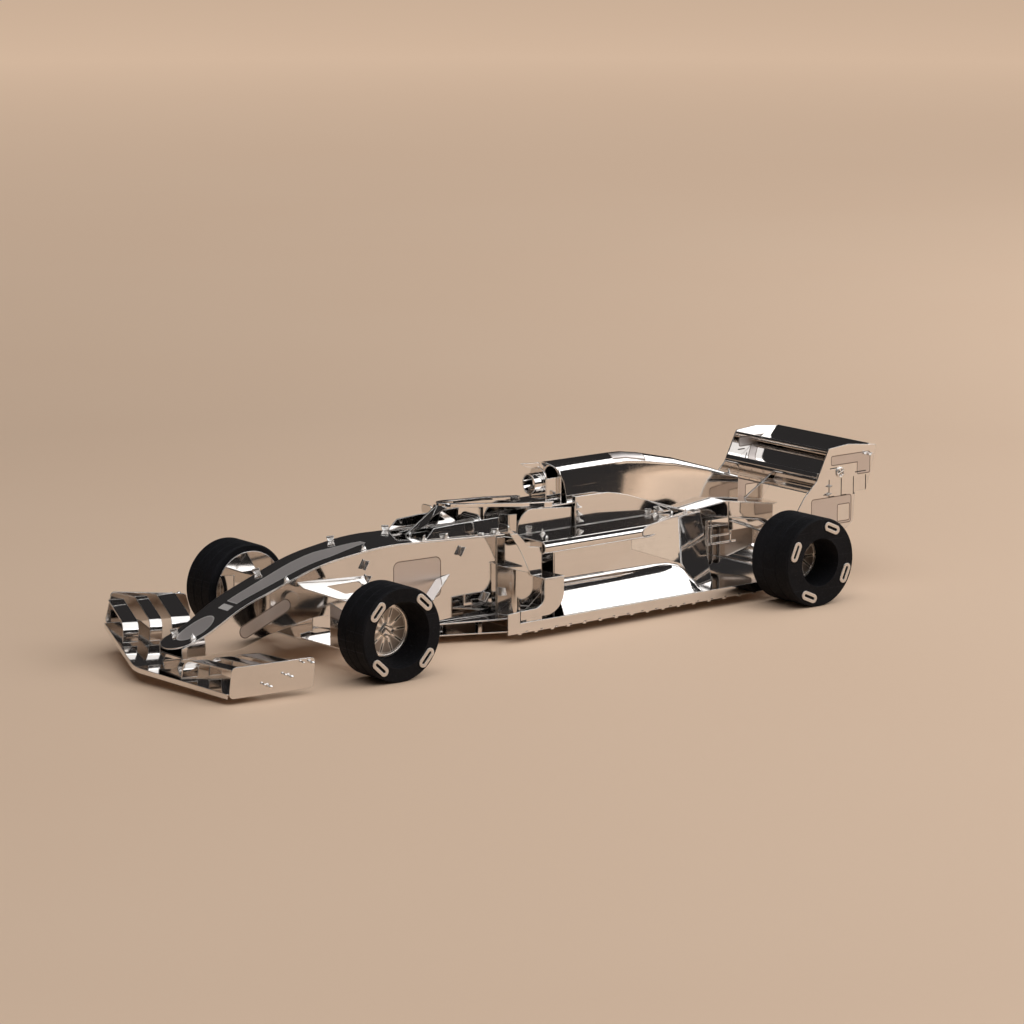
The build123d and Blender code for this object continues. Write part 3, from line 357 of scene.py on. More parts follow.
TUB_SIDE_FIELDS = [((137.9, 20.3), (12.4, 2.6), 2.55, -23.8), ((66.5, 27.0), (11.3, 8.2), 2.6)]
COVER_FIELD = [((-52.0, 2.6), (9.0, 1.5), 0.5)]
ENDPLATE_FIELDS = [
    ((-154.3, 53.5), (11.2, 2.0), 0.9),
    ((-162.0, 50.8), (3.7, 4.6), 0.9),
    ((-143.5, 31.8), (11.5, 6.0), 1.2),
]
ENDPLATE_WINDOW = ((-150.6, 30.4), (3.5, 3.7), 0.6)
ENDPLATE_SLITS = [((-142.0 - 7.1 * step, 41.6), (0.22, 3.9), 0.18) for step in range(4)]
ENDPLATE_SLITS += [((-143.5 - 7.1 * step, 38.0), (1.6, 0.2), 0.18) for step in range(3)]
ENDPLATE_SLITS += [((-144.4, 50.2), (2.0, 0.22), 0.18), ((-160.3, 47.2), (3.2, 0.22), 0.18)]
LIP_SLITS = [((28.0 - 7.6 * step, 4.3), (0.7, 0.12), 0.14) for step in range(16)]

NOSE_OVAL_X, NOSE_OVAL_LONG, NOSE_OVAL_WIDE = 164.0, 7.8, 5.4
NOSE_SQUARE = ((150.4, 1.2), (1.3, 3.1), 0.1)
# the nose's strip: where its ends are, and half its width at three stations, from the rear to the front
STRIP_REAR, STRIP_FRONT, STRIP_Y = 84.0, 147.2, 1.0
STRIP_WIDTHS = ((83.0, 1.6), (104.0, 5.5), (147.0, 3.2))

# a hub's sectors: how many spokes part them, and the radii between which they are frosted
SPOKES, SPOKE_HALF_WIDTH = 10, 0.5
SECTOR_START, SECTOR_END = 3.0, 9.0
THROUGH = 1000.0        # half the depth of a field, which goes right through its sheet


def field(tree, vector, centre, half, corner, turn=0.0, upright=True):
    """The distance from one etched field: upright in the XZ plane, or flat in the XY plane."""
    x, other = centre
    at = place(x, 0.0, other) if upright else place(x, other, 0.0)
    angle = math.radians(turn)
    turned = (math.pi / 2, -angle, 0.0) if upright else (0.0, 0.0, angle)
    node = placed(tree, ETCHED_FIELD, Vector=vector, Centre=at, Turn=turned, Half=(*half, THROUGH),
                  Corner=corner)
    return node.outputs["Distance"]


def nearest(tree, distances):
    """The least of several distances: the union of their fields."""
    least = distances[0]
    for distance in distances[1:]:
        least = maths(tree, "MINIMUM", least, distance)
    return least


def union_of(rows, upright=True):
    """A function that gives the distance from a table's nearest field."""
    def distance(tree, vector):
        return nearest(tree, [field(tree, vector, *row, upright=upright) for row in rows])
    return distance


def endplate_fields(tree, vector):
    """The endplate's fields, with a bare window in the lower one."""
    window = field(tree, vector, *ENDPLATE_WINDOW)
    return larger(tree, union_of(ENDPLATE_FIELDS)(tree, vector), times(tree, window, -1.0))


def nose_deck_fields(tree, vector):
    """An oval at the tip, a small square behind it and a long strip that widens, then closes."""
    shape = (NOSE_OVAL_LONG / NOSE_OVAL_WIDE, 1.0, 1.0)
    wide = measured(tree, vector, place(NOSE_OVAL_X, 0.0, 0.0), unit=shape)
    oval = placed(tree, ETCHED_FIELD, Vector=wide, Centre=(0, 0, 0), Turn=(0, 0, 0),
                  Half=(NOSE_OVAL_WIDE, NOSE_OVAL_WIDE, THROUGH), Corner=NOSE_OVAL_WIDE - 0.05)
    square = field(tree, vector, *NOSE_SQUARE, upright=False)
    along, across, _ = axes(tree, measured(tree, vector, place(0.0, STRIP_Y, 0.0)))
    (rear, rear_half), (middle, middle_half), (front, front_half) = STRIP_WIDTHS
    half = maths(tree, "MINIMUM", remap(tree, along, middle, front, middle_half, front_half),
                 remap(tree, along, rear, middle, rear_half, middle_half))
    strip = minus(tree, maths(tree, "ABSOLUTE", across), half)
    strip = larger(tree, strip, minus(tree, along, STRIP_FRONT))
    strip = larger(tree, strip, minus(tree, STRIP_REAR, along))
    return nearest(tree, [oval.outputs["Distance"], square, strip])


def hub_sectors(tree, vector):
    """Frosted sectors between a hub's spokes, on the front and the rear wheels alike."""
    x, _, height = axes(tree, measured(tree, vector, place(0.0, 0.0, WHEEL_RADIUS)))
    along = minus(tree, maths(tree, "ABSOLUTE", x), HALF_WHEELBASE)
    radius = hypotenuse(tree, along, height)
    turn = times(tree, maths(tree, "ARCTAN2", height, along), SPOKES / 2)
    aside = times(tree, radius, maths(tree, "ABSOLUTE", maths(tree, "SINE", turn)))
    sector = minus(tree, SPOKE_HALF_WIDTH, times(tree, aside, 2 / SPOKES))
    sector = larger(tree, sector, minus(tree, SECTOR_START, radius))
    return larger(tree, sector, minus(tree, radius, SECTOR_END))


POLISHED = steel("polished_steel", BRIGHT, BRIGHT_WORN, roughness=0.045, waves=0.35, marks=0.5)
TUB_SIDE = steel("tub_side_steel", BRIGHT, BRIGHT_WORN, roughness=0.045, waves=0.35, marks=0.5,
                 etched=union_of(TUB_SIDE_FIELDS))
# its fields' light rim is a painted highlight
NOSE_DECK = steel("nose_deck_steel", BRIGHT, BRIGHT_WORN, roughness=0.045, waves=0.20, marks=0.4,
                  etched=nose_deck_fields, frosting=0.55, rim_tint=BRIGHT_RIM)
ENDPLATE = steel("endplate_steel", BRIGHT, BRIGHT_WORN, roughness=0.05, waves=0.25, marks=0.5,
                 etched=endplate_fields, slits=union_of(ENDPLATE_SLITS))
COVER = steel("cover_steel", BRIGHT, BRIGHT_WORN, roughness=0.05, waves=0.35, marks=0.5,
              etched=union_of(COVER_FIELD, upright=False))
FLOOR = steel("floor_steel", BRIGHT, BRIGHT_WORN, roughness=0.05, waves=0.30, marks=0.5,
              slits=union_of(LIP_SLITS))
# the inner plates' darker copy of the sheet steel is painted shade, for the inside of the car
INNER_SHADED = steel("inner_steel", (0.60, 0.58, 0.56, 1), (0.45, 0.43, 0.41, 1),
              roughness=0.14, waves=0.5, marks=0.8)
# a dark copy of the sheet steel: painted shade, on the gearbox, the slots round the tabs, the caps' heads and some
# endplate tabs
DARK_SHADE_STEEL = steel("dark_shade_steel", (0.30, 0.25, 0.215, 1), (0.20, 0.165, 0.14, 1),
              roughness=0.24, waves=0.5, marks=0.8)
HUB = steel("hub_steel", (0.95, 0.89, 0.83, 1), (0.84, 0.77, 0.70, 1),
            roughness=0.15, waves=0.3, marks=0.6, etched=hub_sectors, frosting=0.5,
            frosted=(0.33, 0.27, 0.23, 1), rim_tint=(0.92, 0.86, 0.80, 1))
CLAMP = steel("clamp_steel", (0.82, 0.78, 0.74, 1), (0.68, 0.64, 0.60, 1),
              roughness=0.30, waves=0.3, marks=0.7)
# a lighter copy of the sheet steel: painted highlight on the tabs, the split rings and the ladder's bars
TAB = steel("tab_highlight_steel", (0.93, 0.91, 0.89, 1), (0.80, 0.77, 0.74, 1),
            roughness=0.20, waves=0.2, marks=0.4)
# a still lighter copy of the sheet steel: painted highlight on the wing's curled ends
CURL = steel("curl_highlight_steel", (0.95, 0.94, 0.93, 1), (0.86, 0.84, 0.82, 1),
             roughness=0.10, waves=0.2, marks=0.4)
FOAM = foam("foam_rubber")

FINISHES = {
    "sheet_steel": POLISHED, "inner_steel": INNER_SHADED, "hub_steel": HUB,
    "clamp_steel": CLAMP, "foam_tyre": FOAM,
}
# the gearbox takes the dark steel: painted shade in the engine bay
NODE_FINISHES = {
    "tub_side_left": TUB_SIDE, "tub_side_right": TUB_SIDE, "nose_deck": NOSE_DECK,
    "rear_wing_endplates": ENDPLATE, "engine_cover": COVER, "floor": FLOOR, "gearbox": DARK_SHADE_STEEL,
}


def dress_frame():
    """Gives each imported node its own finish, or else the finish of its slot."""
    for row in frame["record"]["subparts"]:
        node = frame["nodes"][row["node"]]
        node.data.materials.clear()
        node.data.materials.append(NODE_FINISHES.get(row["node"], FINISHES[row["material_slot"]]))


# Making a piece and finding its seat

OUTSIDE = 90        # rays start this far out, outside the whole car
TREES = {}


def seat(node, start, direction):
    """Where a ray from a point of the maker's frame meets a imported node: the place and its normal."""
    if node not in TREES:
        mesh = frame["nodes"][node].data
        corners = [vertex.co for vertex in mesh.vertices]
        faces = [tuple(polygon.vertices) for polygon in mesh.polygons]
        TREES[node] = BVHTree.FromPolygons(corners, faces)
    way = Vector(direction).normalized()
    at, normal, _, _ = TREES[node].ray_cast(place(*start), way)
    if at is None:
        raise ValueError(f"nothing of {node} lies that way from {start}")
    return at, (-normal if normal.dot(way) > 0 else normal)


def seat_above(node, x, y):
    """The seat that a node gives from above."""
    return seat(node, (x, y, OUTSIDE), DOWN)


def seat_beside(node, side, x, z):
    """The seat that a node gives from one side of the car."""
    return seat(node, (x, side * OUTSIDE, z), (0, -side, 0))


def standing(at, normal, along):
    """A matrix at a seat: Z out of the sheet, X as near as it can be to a given direction."""
    z = normal.normalized()
    y = z.cross(Vector(along)).normalized()
    x = y.cross(z)
    return Matrix.Translation(at) @ Matrix((x, y, z)).transposed().to_4x4()


def finish_piece(name, mesh, body, material):
    """Makes a bmesh, drawn in place, into a piece that rides on a body."""
    bmesh.ops.recalc_face_normals(mesh, faces=mesh.faces)
    data = bpy.data.meshes.new(name)
    mesh.to_mesh(data)
    mesh.free()
    piece = bpy.data.objects.new(name, data)
    bpy.context.scene.collection.objects.link(piece)
    data.materials.append(material)
    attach(piece, body)
    return piece


def join(mesh, part, matrix):
    """Adds a part, drawn at the origin, to a bmesh at its place."""
    data = bpy.data.meshes.new("part")
    part.to_mesh(data)
    part.free()
    data.transform(matrix)
    mesh.from_mesh(data)
    bpy.data.meshes.remove(data)


def bar(size, low=0.0, cuts=0, bevel=0.1):
    """A rectangular bar, its sides in millimetres, standing on low, with rounded edges."""
    part = bmesh.new()
    bmesh.ops.create_cube(part, size=1.0)
    bmesh.ops.scale(part, vec=Vector(size) * MM, verts=part.verts)
    bmesh.ops.translate(part, vec=Vector((0, 0, (low + size[2] / 2) * MM)), verts=part.verts)
    bmesh.ops.bevel(part, geom=part.edges[:], offset=bevel * MM, segments=2, profile=0.5,
                    affect="EDGES", material=-1)
    for step in range(cuts):
        height = (low + size[2] * (step + 1) / (cuts + 1)) * MM
        bmesh.ops.bisect_plane(part, geom=part.verts[:] + part.edges[:] + part.faces[:],
                               plane_co=(0, 0, height), plane_no=(0, 0, 1))
    return part


# Locking tabs

TAB_THICKNESS, TAB_ROOT = 0.45, 0.4
# a head starts to turn this far above its sheet, turns over this share of its height, and gets wider
TWIST_START, TWIST_SHARE, HEAD_FLARE = 0.2, 0.55, 0.25
SLOT_MARGIN, SLOT_WIDTH, SLOT_HEIGHT = 0.7, 1.0, 0.14

# a tab: two coordinates of its place, its width and its head's twist in degrees; X and Z on the sheets
# that are met from beside the car, X and Y on those that are met from above
SIDE_TABS = [
    (91.8, 36.1, 3.3, -30), (90.9, 29.9, 3.3, -30), (45.8, 36.2, 3.3, -30),
    (62.0, 12.0, 3.3, -35), (34.0, 16.0, 3.3, -35),
]
DECK_TABS = [
    (169.3, 6.4, 2.4, 40), (127.6, 10.2, 2.4, 40), (91.0, 11.2, 2.4, 40),
    (62.5, 13.2, 2.4, 40), (52.1, 14.4, 2.4, 40), (26.6, 15.2, 2.4, 40),
]
PLATE_TABS = [
    (-17.9, 46.6, 1.9, 60), (-18.3, 43.4, 1.9, 60), (-18.8, 40.6, 1.9, 60), (-62.0, 39.9, 1.9, 60),
]
POD_DECK_TABS = [(-58.0, 13.6, 2.2, 50), (-73.0, 16.0, 2.2, 50), (4.0, 16.0, 2.2, 50)]
ENDPLATE_TABS = [(-162.4, 55.0, 1.4, 50), (-165.4, 54.2, 1.4, 50)]
ENDPLATE_DARK_TABS = [(-141.9, 42.8, 1.4, 20), (-141.2, 39.3, 2.2, 20)]
COVER_TABS = [(-109.4, 1.0, 2.6, 60)]
# piece, node with {} for the side's name, what the tabs lie along, their height, their finish, their rows
BESIDE_SETS = [
    ("side_tabs", "tub_side_{}", ALONG_Z, 2.6, TAB, SIDE_TABS),
    ("engine_plate_tabs", "engine_plates", ALONG_Z, 2.1, TAB, PLATE_TABS),
    ("rear_wing_tabs", "rear_wing_endplates", ALONG_X, 1.4, TAB, ENDPLATE_TABS),
    # these tabs take the dark steel: painted shade
    ("rear_wing_dark_tabs", "rear_wing_endplates", ALONG_X, 1.3, DARK_SHADE_STEEL, ENDPLATE_DARK_TABS),
]
ABOVE_SETS = [
    ("deck_tabs", "nose_deck", ALONG_X, 2.2, TAB, DECK_TABS),
    ("pod_deck_tabs", "pod_deck_{}", ALONG_X, 2.0, TAB, POD_DECK_TABS),
]
# curled ends on the front wing's endplates: X and Z; the small and the large one of a pair take turns
WING_END_TABS = {
    "left": [(152.0, 13.3), (148.1, 12.8), (159.6, 9.5), (157.0, 8.4), (168.4, 6.7), (165.9, 5.6)],
    "right": [(141.5, 20.3), (138.0, 19.8), (147.4, 18.4), (144.7, 17.1), (156.6, 15.2), (154.0, 13.9)],
}
CURL_RADII, CURL_SHAPE = (0.65, 0.95), (1.0, 0.85, 0.75)
STEM_HEIGHT, STEM_ROOT = 1.5, 0.3


def tab(width, height, twist):
    """A locking tab: it comes up through its slot and its head is twisted across it."""
    part = bar((width, TAB_THICKNESS, height + TAB_ROOT), low=-TAB_ROOT, cuts=6)
    for vertex in part.verts:
        share = min(1.0, max(0.0, (vertex.co.z / MM - TWIST_START) / (height * TWIST_SHARE)))
        turn = Matrix.Rotation(math.radians(twist) * share, 3, "Z")
        flare = 1.0 + HEAD_FLARE * share
        vertex.co = turn @ Vector((vertex.co.x * flare, vertex.co.y, vertex.co.z))
    return part


def make_tabs(name, seats, along, height, material):
    """Locking tabs and, as a second piece, their slots, thin bars painted dark as the shade in each slot: each row
    has a seat, a width and a twist.
    """
    heads, slots = bmesh.new(), bmesh.new()
    for (at, normal), width, twist in seats:
        stand = standing(at, normal, along)
        join(heads, tab(width, height, twist), stand)
        slot = bar((width + SLOT_MARGIN, SLOT_WIDTH, SLOT_HEIGHT), low=-SLOT_HEIGHT / 2, bevel=0.05)
        join(slots, slot, stand)
    finish_piece(name, heads, "car", material)
    # the slots take the dark steel: painted shade round each tab
    finish_piece(f"{name}_slots", slots, "car", DARK_SHADE_STEEL)


def curled_end(radius):
    """A tab's curled end: a flattened drop on a short stem."""
    part = bar((0.9 * radius, TAB_THICKNESS, STEM_HEIGHT), low=-STEM_ROOT, bevel=0.08)
    drop = bmesh.new()
    bmesh.ops.create_icosphere(drop, subdivisions=2, radius=radius * MM)
    bmesh.ops.scale(drop, vec=CURL_SHAPE, verts=drop.verts)
    join(part, drop, Matrix.Translation((0, 0, (1.0 + 0.5 * radius) * MM)))
    return part


def make_curled_ends(side, word):
    """The tabs' curled ends on one of the front wing's endplates."""
    mesh = bmesh.new()
    for index, (x, z) in enumerate(WING_END_TABS[word]):
        at, normal = seat_beside(f"front_wing_endplate_{word}", side, x, z)
        join(mesh, curled_end(CURL_RADII[index % 2]), standing(at, normal, ALONG_X))
    finish_piece(f"wing_end_tabs_{word}", mesh, "car", CURL)


def make_fasteners():
    """The locking tabs of each sheet, on both sides of the car."""
    for side, word in SIDES:
        for name, node, along, height, finish, rows in BESIDE_SETS:
            seats = [(seat_beside(node.format(word), side, x, z), width, twist)
                     for x, z, width, twist in rows]
            make_tabs(f"{name}_{word}", seats, along, height, finish)
        for name, node, along, height, finish, rows in ABOVE_SETS:
            seats = [(seat_above(node.format(word), x, side * y), width, side * twist)
                     for x, y, width, twist in rows]
            make_tabs(f"{name}_{word}", seats, along, height, finish)
        make_curled_ends(side, word)
    seats = [(seat_above("engine_cover", x, y), width, twist) for x, y, width, twist in COVER_TABS]
    make_tabs("cover_tabs", seats, ALONG_X, 1.6, TAB)


# Split rings, the heads on the axles' caps and the bars beside the gearbox

# ring: X, Y and radius on the decks, X, Z and radius on the rear wing's endplates
DECK_RINGS = [(27.9, 14.6, 1.2), (34.0, 14.9, 0.9), (60.0, 0.6, 1.1)]
POD_RINGS = [(-66.0, 15.4, 1.2), (9.0, 25.0, 1.4)]
ENDPLATE_RINGS = [(-148.2, 48.2, 1.9)]
RING_WIRE, ENDPLATE_WIRE, ENDPLATE_LIFT = 0.3, 0.45, 0.25
CROSS_TURNS = (25, 115)
# a bent head on an axle's cap: its sheet's width and height, its root, and what it gains at its corners
HEAD_WIDTH, HEAD_HEIGHT, HEAD_ROOT, HEAD_CORNER = 0.42, 0.9, 0.2, 0.4
# its line, from the axle, in millimetres: forwards, upwards
CAP_LINES = [
    [(0.8, 2.3), (-2.0, 0.9), (-1.7, 1.4)],
    [(2.5, -0.5), (0.9, 1.2), (-1.8, -1.3), (-2.8, -0.1)],
    [(1.3, -1.7), (0.7, -1.3), (-0.9, -2.2)],
]
# the ladder beside the gearbox: its rails have a height, a front and a rear end, its posts an X
LADDER_Y, LADDER_FOOT = 8.4, 19.6
LADDER_RAILS = [
    (31.6, -84.5, -106.0), (27.4, -84.5, -105.2), (23.0, -93.6, -105.2), (LADDER_FOOT, -84.5, -108.0),
]
LADDER_POSTS = (-93.9, -104.9)
# each bar's sides, then the middle of its foot on the car's left; the last is the flange in front
LADDER_BARS = [((front - rear, SHEET, 0.9), ((front + rear) / 2, LADDER_Y, height))
               for height, front, rear in LADDER_RAILS]
LADDER_BARS += [((1.0, SHEET, 12.6), (x, LADDER_Y, LADDER_FOOT)) for x in LADDER_POSTS]
LADDER_BARS.append(((7.0, TAB_THICKNESS, 24.4), (-88.0, 9.5, 8.7)))


def ring(radius, wire):
    """A wire ring round Z, its sizes in millimetres."""
    part = bmesh.new()
    bmesh.ops.create_circle(part, segments=8, radius=wire * MM)
    bmesh.ops.rotate(part, verts=part.verts, matrix=Matrix.Rotation(math.pi / 2, 3, "X"))
    bmesh.ops.translate(part, verts=part.verts, vec=(radius * MM, 0, 0))
    bmesh.ops.spin(part, geom=part.verts[:] + part.edges[:], cent=(0, 0, 0), axis=(0, 0, 1),
                   angle=2 * math.pi, steps=18, use_merge=True)
    bmesh.ops.recalc_face_normals(part, faces=part.faces)
    return part


def make_rings():
    """Split rings: those on the decks stand through their slot, the endplates' lie flat on a cross."""
    upright = Matrix.Rotation(math.pi / 2, 4, "X")
    for side, word in SIDES:
        mesh = bmesh.new()
        for node, rows in (("nose_deck", DECK_RINGS), (f"pod_deck_{word}", POD_RINGS)):
            for x, y, radius in rows:
                at, normal = seat_above(node, x, side * y)
                join(mesh, ring(radius, RING_WIRE), standing(at, normal, (1, side * 0.8, 0)) @ upright)
        for x, z, radius in ENDPLATE_RINGS:
            at, normal = seat_beside("rear_wing_endplates", side, x, z)
            flat = standing(at, normal, ALONG_X) @ Matrix.Translation((0, 0, ENDPLATE_LIFT * MM))
            join(mesh, ring(radius, ENDPLATE_WIRE), flat)
            for turn in CROSS_TURNS:
                cross = bar((2 * radius, SHEET, SHEET))
                join(mesh, cross, flat @ Matrix.Rotation(math.radians(turn), 4, "Z"))
        finish_piece(f"split_rings_{word}", mesh, "car", TAB)


def make_cap_heads():
    """Bent heads of the tabs that close each axle's cap, painted dark as their shadow on the cap."""
    for end, axle_x in (("front", HALF_WHEELBASE), ("rear", -HALF_WHEELBASE)):
        for side, word in SIDES:
            mesh = bmesh.new()
            for line in CAP_LINES:
                for first, second in zip(line, line[1:]):
                    middle = [(a + b) / 2 for a, b in zip(first, second)]
                    run = (second[0] - first[0], second[1] - first[1])
                    at, normal = seat_beside(f"{end}_carrier_{word}", side, axle_x + middle[0],
                                             WHEEL_RADIUS + middle[1])
                    size = (math.hypot(*run) + HEAD_CORNER, HEAD_WIDTH, HEAD_HEIGHT)
                    head = bar(size, low=-HEAD_ROOT, bevel=0.08)
                    join(mesh, head, standing(at, normal, (run[0], 0, run[1])))
            # the heads take the dark steel: painted shadow
            finish_piece(f"{end}_cap_heads_{word}", mesh, "car", DARK_SHADE_STEEL)


def make_engine_frame():
    """A ladder of thin bars beside the gearbox, from the rear bulkhead backwards."""
    for side, word in SIDES:
        mesh = bmesh.new()
        for sides, (x, y, z) in LADDER_BARS:
            join(mesh, bar(sides), Matrix.Translation(place(x, side * y, z)))
        finish_piece(f"engine_ladder_{word}", mesh, "car", TAB)


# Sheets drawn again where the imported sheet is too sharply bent, or bent another way

FLOOR_EDGE_Y = 36.0         # half the floor's width
SKIN_FOOT_Z = 8.1           # the lower skin stands just above the floor
SKIN_LEDGE_Y = 24.2         # and starts just outside the pod's wall
# station X, distance inside the floor's edge, height above the foot
SKIN_LINE = [
    (8.3, 0.4, 12.5), (-20.0, 0.4, 12.5), (-48.0, 0.4, 12.5), (-55.0, 0.4, 12.3), (-60.0, 0.45, 11.2),
    (-63.5, 0.5, 9.0), (-65.6, 0.6, 6.0), (-66.6, 0.7, 2.6),
]
# the skin bends from the ledge by way of a shoulder, so far outside the ledge, and an elbow, so far inside
# the edge; a drop is a share of the height, and tells how far below the top the curve is held there
SHOULDER_RUN, ELBOW_RUN, SKIN_STEPS = 4.2, 3.4, 16
LEDGE_DROP, SHOULDER_DROP, ELBOW_DROP = 0.04, -0.005, 0.345
# station X, half the width, top, foot
COVER_LINE = [
    (-12.0, 6.8, 64.3, 48.2), (-20.0, 6.8, 64.3, 48.2), (-43.0, 6.7, 64.3, 48.2), (-50.0, 6.6, 64.1, 46.1),
    (-60.0, 6.1, 62.5, 42.9), (-70.0, 5.4, 60.2, 39.8), (-78.0, 4.7, 58.4, 37.3), (-88.0, 3.7, 55.3, 38.1),
    (-98.0, 2.8, 52.2, 39.0), (-107.0, 1.8, 49.0, 37.8), (-116.0, 0.9, 46.0, 36.4),
]
# the roof's roll: its angles, and its radius as a share of the half-width
COVER_ROLL_ANGLES, COVER_ROLL_SHARE = (0, 16, 30, 42, 52, 61, 69, 77, 84), 0.77
# height, the cover's front edge at that height
COVER_FRONT = [(36.0, -16.3), (49.0, -16.3), (57.0, -15.3), (61.8, -12.5), (64.6, -8.6)]

# the foot of the pod wall's rear plate lies behind this X and below this Z; it leans out by a share of its
# distance from the top edge, along a way of X and sideways
WALL_REAR_X, WALL_FOOT_Z, WALL_TOP_Z = -62.0, 30.0, 36.9
WALL_LEAN, WALL_WAY = 0.075, (-0.35, 0.94)
# the guard ring's pillar stands ahead of this X, and its cheeks are wider than its bent edge; they keep a
# share of their width from the fold outwards, and go back by another share of it
PILLAR_X, PILLAR_EDGE, CHEEK_FOLD = 47.5, 0.45, 0.4
CHEEK_WIDTH_SHARE, CHEEK_BACK_SHARE = 0.15, 0.45

COAMING_LEAN, COAMING_SHEET = math.radians(8), 0.45
COAMING_FRONT, COAMING_REAR = (61.0, 13.0, 42.35), (24.8, 14.4, 41.0)
# share of the run to the rear, height of the rim there
COAMING_RIM = [(0.0, 0.5), (0.11, 4.3), (0.4, 5.2), (1.0, 6.3)]


def between(rows, value):
    """The value at a place in a table of (place, value) rows, in straight runs."""
    for (low, first), (high, second) in zip(rows, rows[1:]):
        if value <= high:
            share = max(0.0, (value - low) / (high - low))
            return first + (second - first) * share
    return rows[-1][1]


def bend(points, count):
    """Points along a cubic curve through its four control points."""
    ends = [Vector(point) for point in points]
    run = []
    for step in range(count + 1):
        t = step / count
        shares = ((1 - t) ** 3, 3 * t * (1 - t) ** 2, 3 * t * t * (1 - t), t ** 3)
        run.append(sum((end * share for end, share in zip(ends, shares)), Vector((0, 0))))
    return run


def draw_sheet(mesh, sections, thickness):
    """Adds a sheet, drawn through its sections, each a list of points in maker's millimetres."""
    sheet = bmesh.new()
    row = [sheet.verts.new(place(*point)) for point in sections[0]]
    edges = [sheet.edges.new(pair) for pair in zip(row, row[1:])]
    for section in sections[1:]:
        made = bmesh.ops.extrude_edge_only(sheet, edges=edges)["geom"]
        fresh = {item for item in made if isinstance(item, bmesh.types.BMVert)}
        row = [next(edge.other_vert(vertex) for edge in vertex.link_edges
                    if edge.other_vert(vertex) in fresh) for vertex in row]
        for vertex, point in zip(row, section):
            vertex.co = place(*point)
        edges = [sheet.edges.get(pair) for pair in zip(row, row[1:])]
    bmesh.ops.recalc_face_normals(sheet, faces=sheet.faces)
    if sum(face.normal.z for face in sheet.faces) < 0:
        bmesh.ops.reverse_faces(sheet, faces=sheet.faces)
    bmesh.ops.solidify(sheet, geom=sheet.faces[:], thickness=thickness * MM)
    join(mesh, sheet, Matrix())


def rolled_sheets(name, sheets, thickness, material, node):
    """Sheets in one piece that stands in for a node."""
    mesh = bmesh.new()
    for sections in sheets:
        draw_sheet(mesh, sections, thickness)
    piece = finish_piece(name, mesh, "car", material)
    piece.data.shade_smooth()
    piece.data.set_sharp_from_angle(angle=math.radians(32))
    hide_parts(node)


def make_skins():
    """The pods' lower skins: a ledge that rolls over in one long curve to the floor."""
    for side, word in SIDES:
        sections = []
        for x, inset, height in SKIN_LINE:
            top, edge = SKIN_FOOT_Z + height, FLOOR_EDGE_Y - inset
            curve = bend([
                (SKIN_LEDGE_Y, top - LEDGE_DROP * height),
                (SKIN_LEDGE_Y + SHOULDER_RUN, top - SHOULDER_DROP * height),
                (edge - ELBOW_RUN, top - ELBOW_DROP * height),
                (edge, SKIN_FOOT_Z)], SKIN_STEPS)
            sections.append([(x, side * y, z) for y, z in curve])
        rolled_sheets(f"lower_skin_{word}", [sections], SHEET, POLISHED, f"pod_skin_{word}")


def make_cover():
    """The engine cover: a flat roof, a rolled shoulder and sides that lean a little."""
    turns = [math.radians(angle) for angle in COVER_ROLL_ANGLES]
    sections = []
    for index, (x, half, top, foot) in enumerate(COVER_LINE):
        radius = half * COVER_ROLL_SHARE
        one_side = [(radius * math.sin(turn), top - radius * (1 - math.cos(turn))) for turn in turns]
        low_y, low_z = one_side[-1]
        one_side += [(low_y + (half - low_y) * share, low_z + (foot - low_z) * share)
                     for share in (0.33, 0.66, 1.0)]
        profile = [(-y, z) for y, z in reversed(one_side[1:])] + one_side
        sections.append([(between(COVER_FRONT, z) if index == 0 else x, y, z) for y, z in profile])
    rolled_sheets("engine_cover_sheet", [sections], SHEET, COVER, "engine_cover")


def make_coamings():
    """The plates beside the cockpit: they stand nearly upright on the deck and rise to the rear."""
    inwards, upwards = math.sin(COAMING_LEAN), math.cos(COAMING_LEAN)
    plates = []
    for side, _ in SIDES:
        sections = []
        for share, height in COAMING_RIM:
            x, y, z = (front + (rear - front) * share for front, rear in zip(COAMING_FRONT, COAMING_REAR))
            sections.append([(x, side * (y - height * part * inwards), z + height * part * upwards)
                             for part in (0.0, 0.5, 1.0)])
        plates.append(sections)
    rolled_sheets("cockpit_plates", plates, COAMING_SHEET, POLISHED, "coamings")


def copy_of(node):
    """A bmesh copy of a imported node's mesh, the doubled corners of its faces merged."""
    mesh = bmesh.new()
    mesh.from_mesh(frame["nodes"][node].data)
    bmesh.ops.remove_doubles(mesh, verts=mesh.verts, dist=0.002 * MM)
    return mesh


def stand_in(name, mesh, material, node):
    """Finishes a changed copy of a node, which takes the node's place."""
    piece = finish_piece(name, mesh, "car", material)
    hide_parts(node)


def make_pod_walls():
    """The pods' walls, their rear plates leaning a little further out at the foot."""
    for side, word in SIDES:
        mesh = copy_of(f"pod_wall_{word}")
        for vertex in mesh.verts:
            if vertex.co.x < place(WALL_REAR_X, 0, 0).x and vertex.co.z < WALL_FOOT_Z * MM:
                drop = (WALL_TOP_Z * MM - vertex.co.z) * WALL_LEAN
                vertex.co += Vector((WALL_WAY[0], side * WALL_WAY[1], 0)) * drop
        stand_in(f"pod_wall_sheet_{word}", mesh, POLISHED, f"pod_wall_{word}")


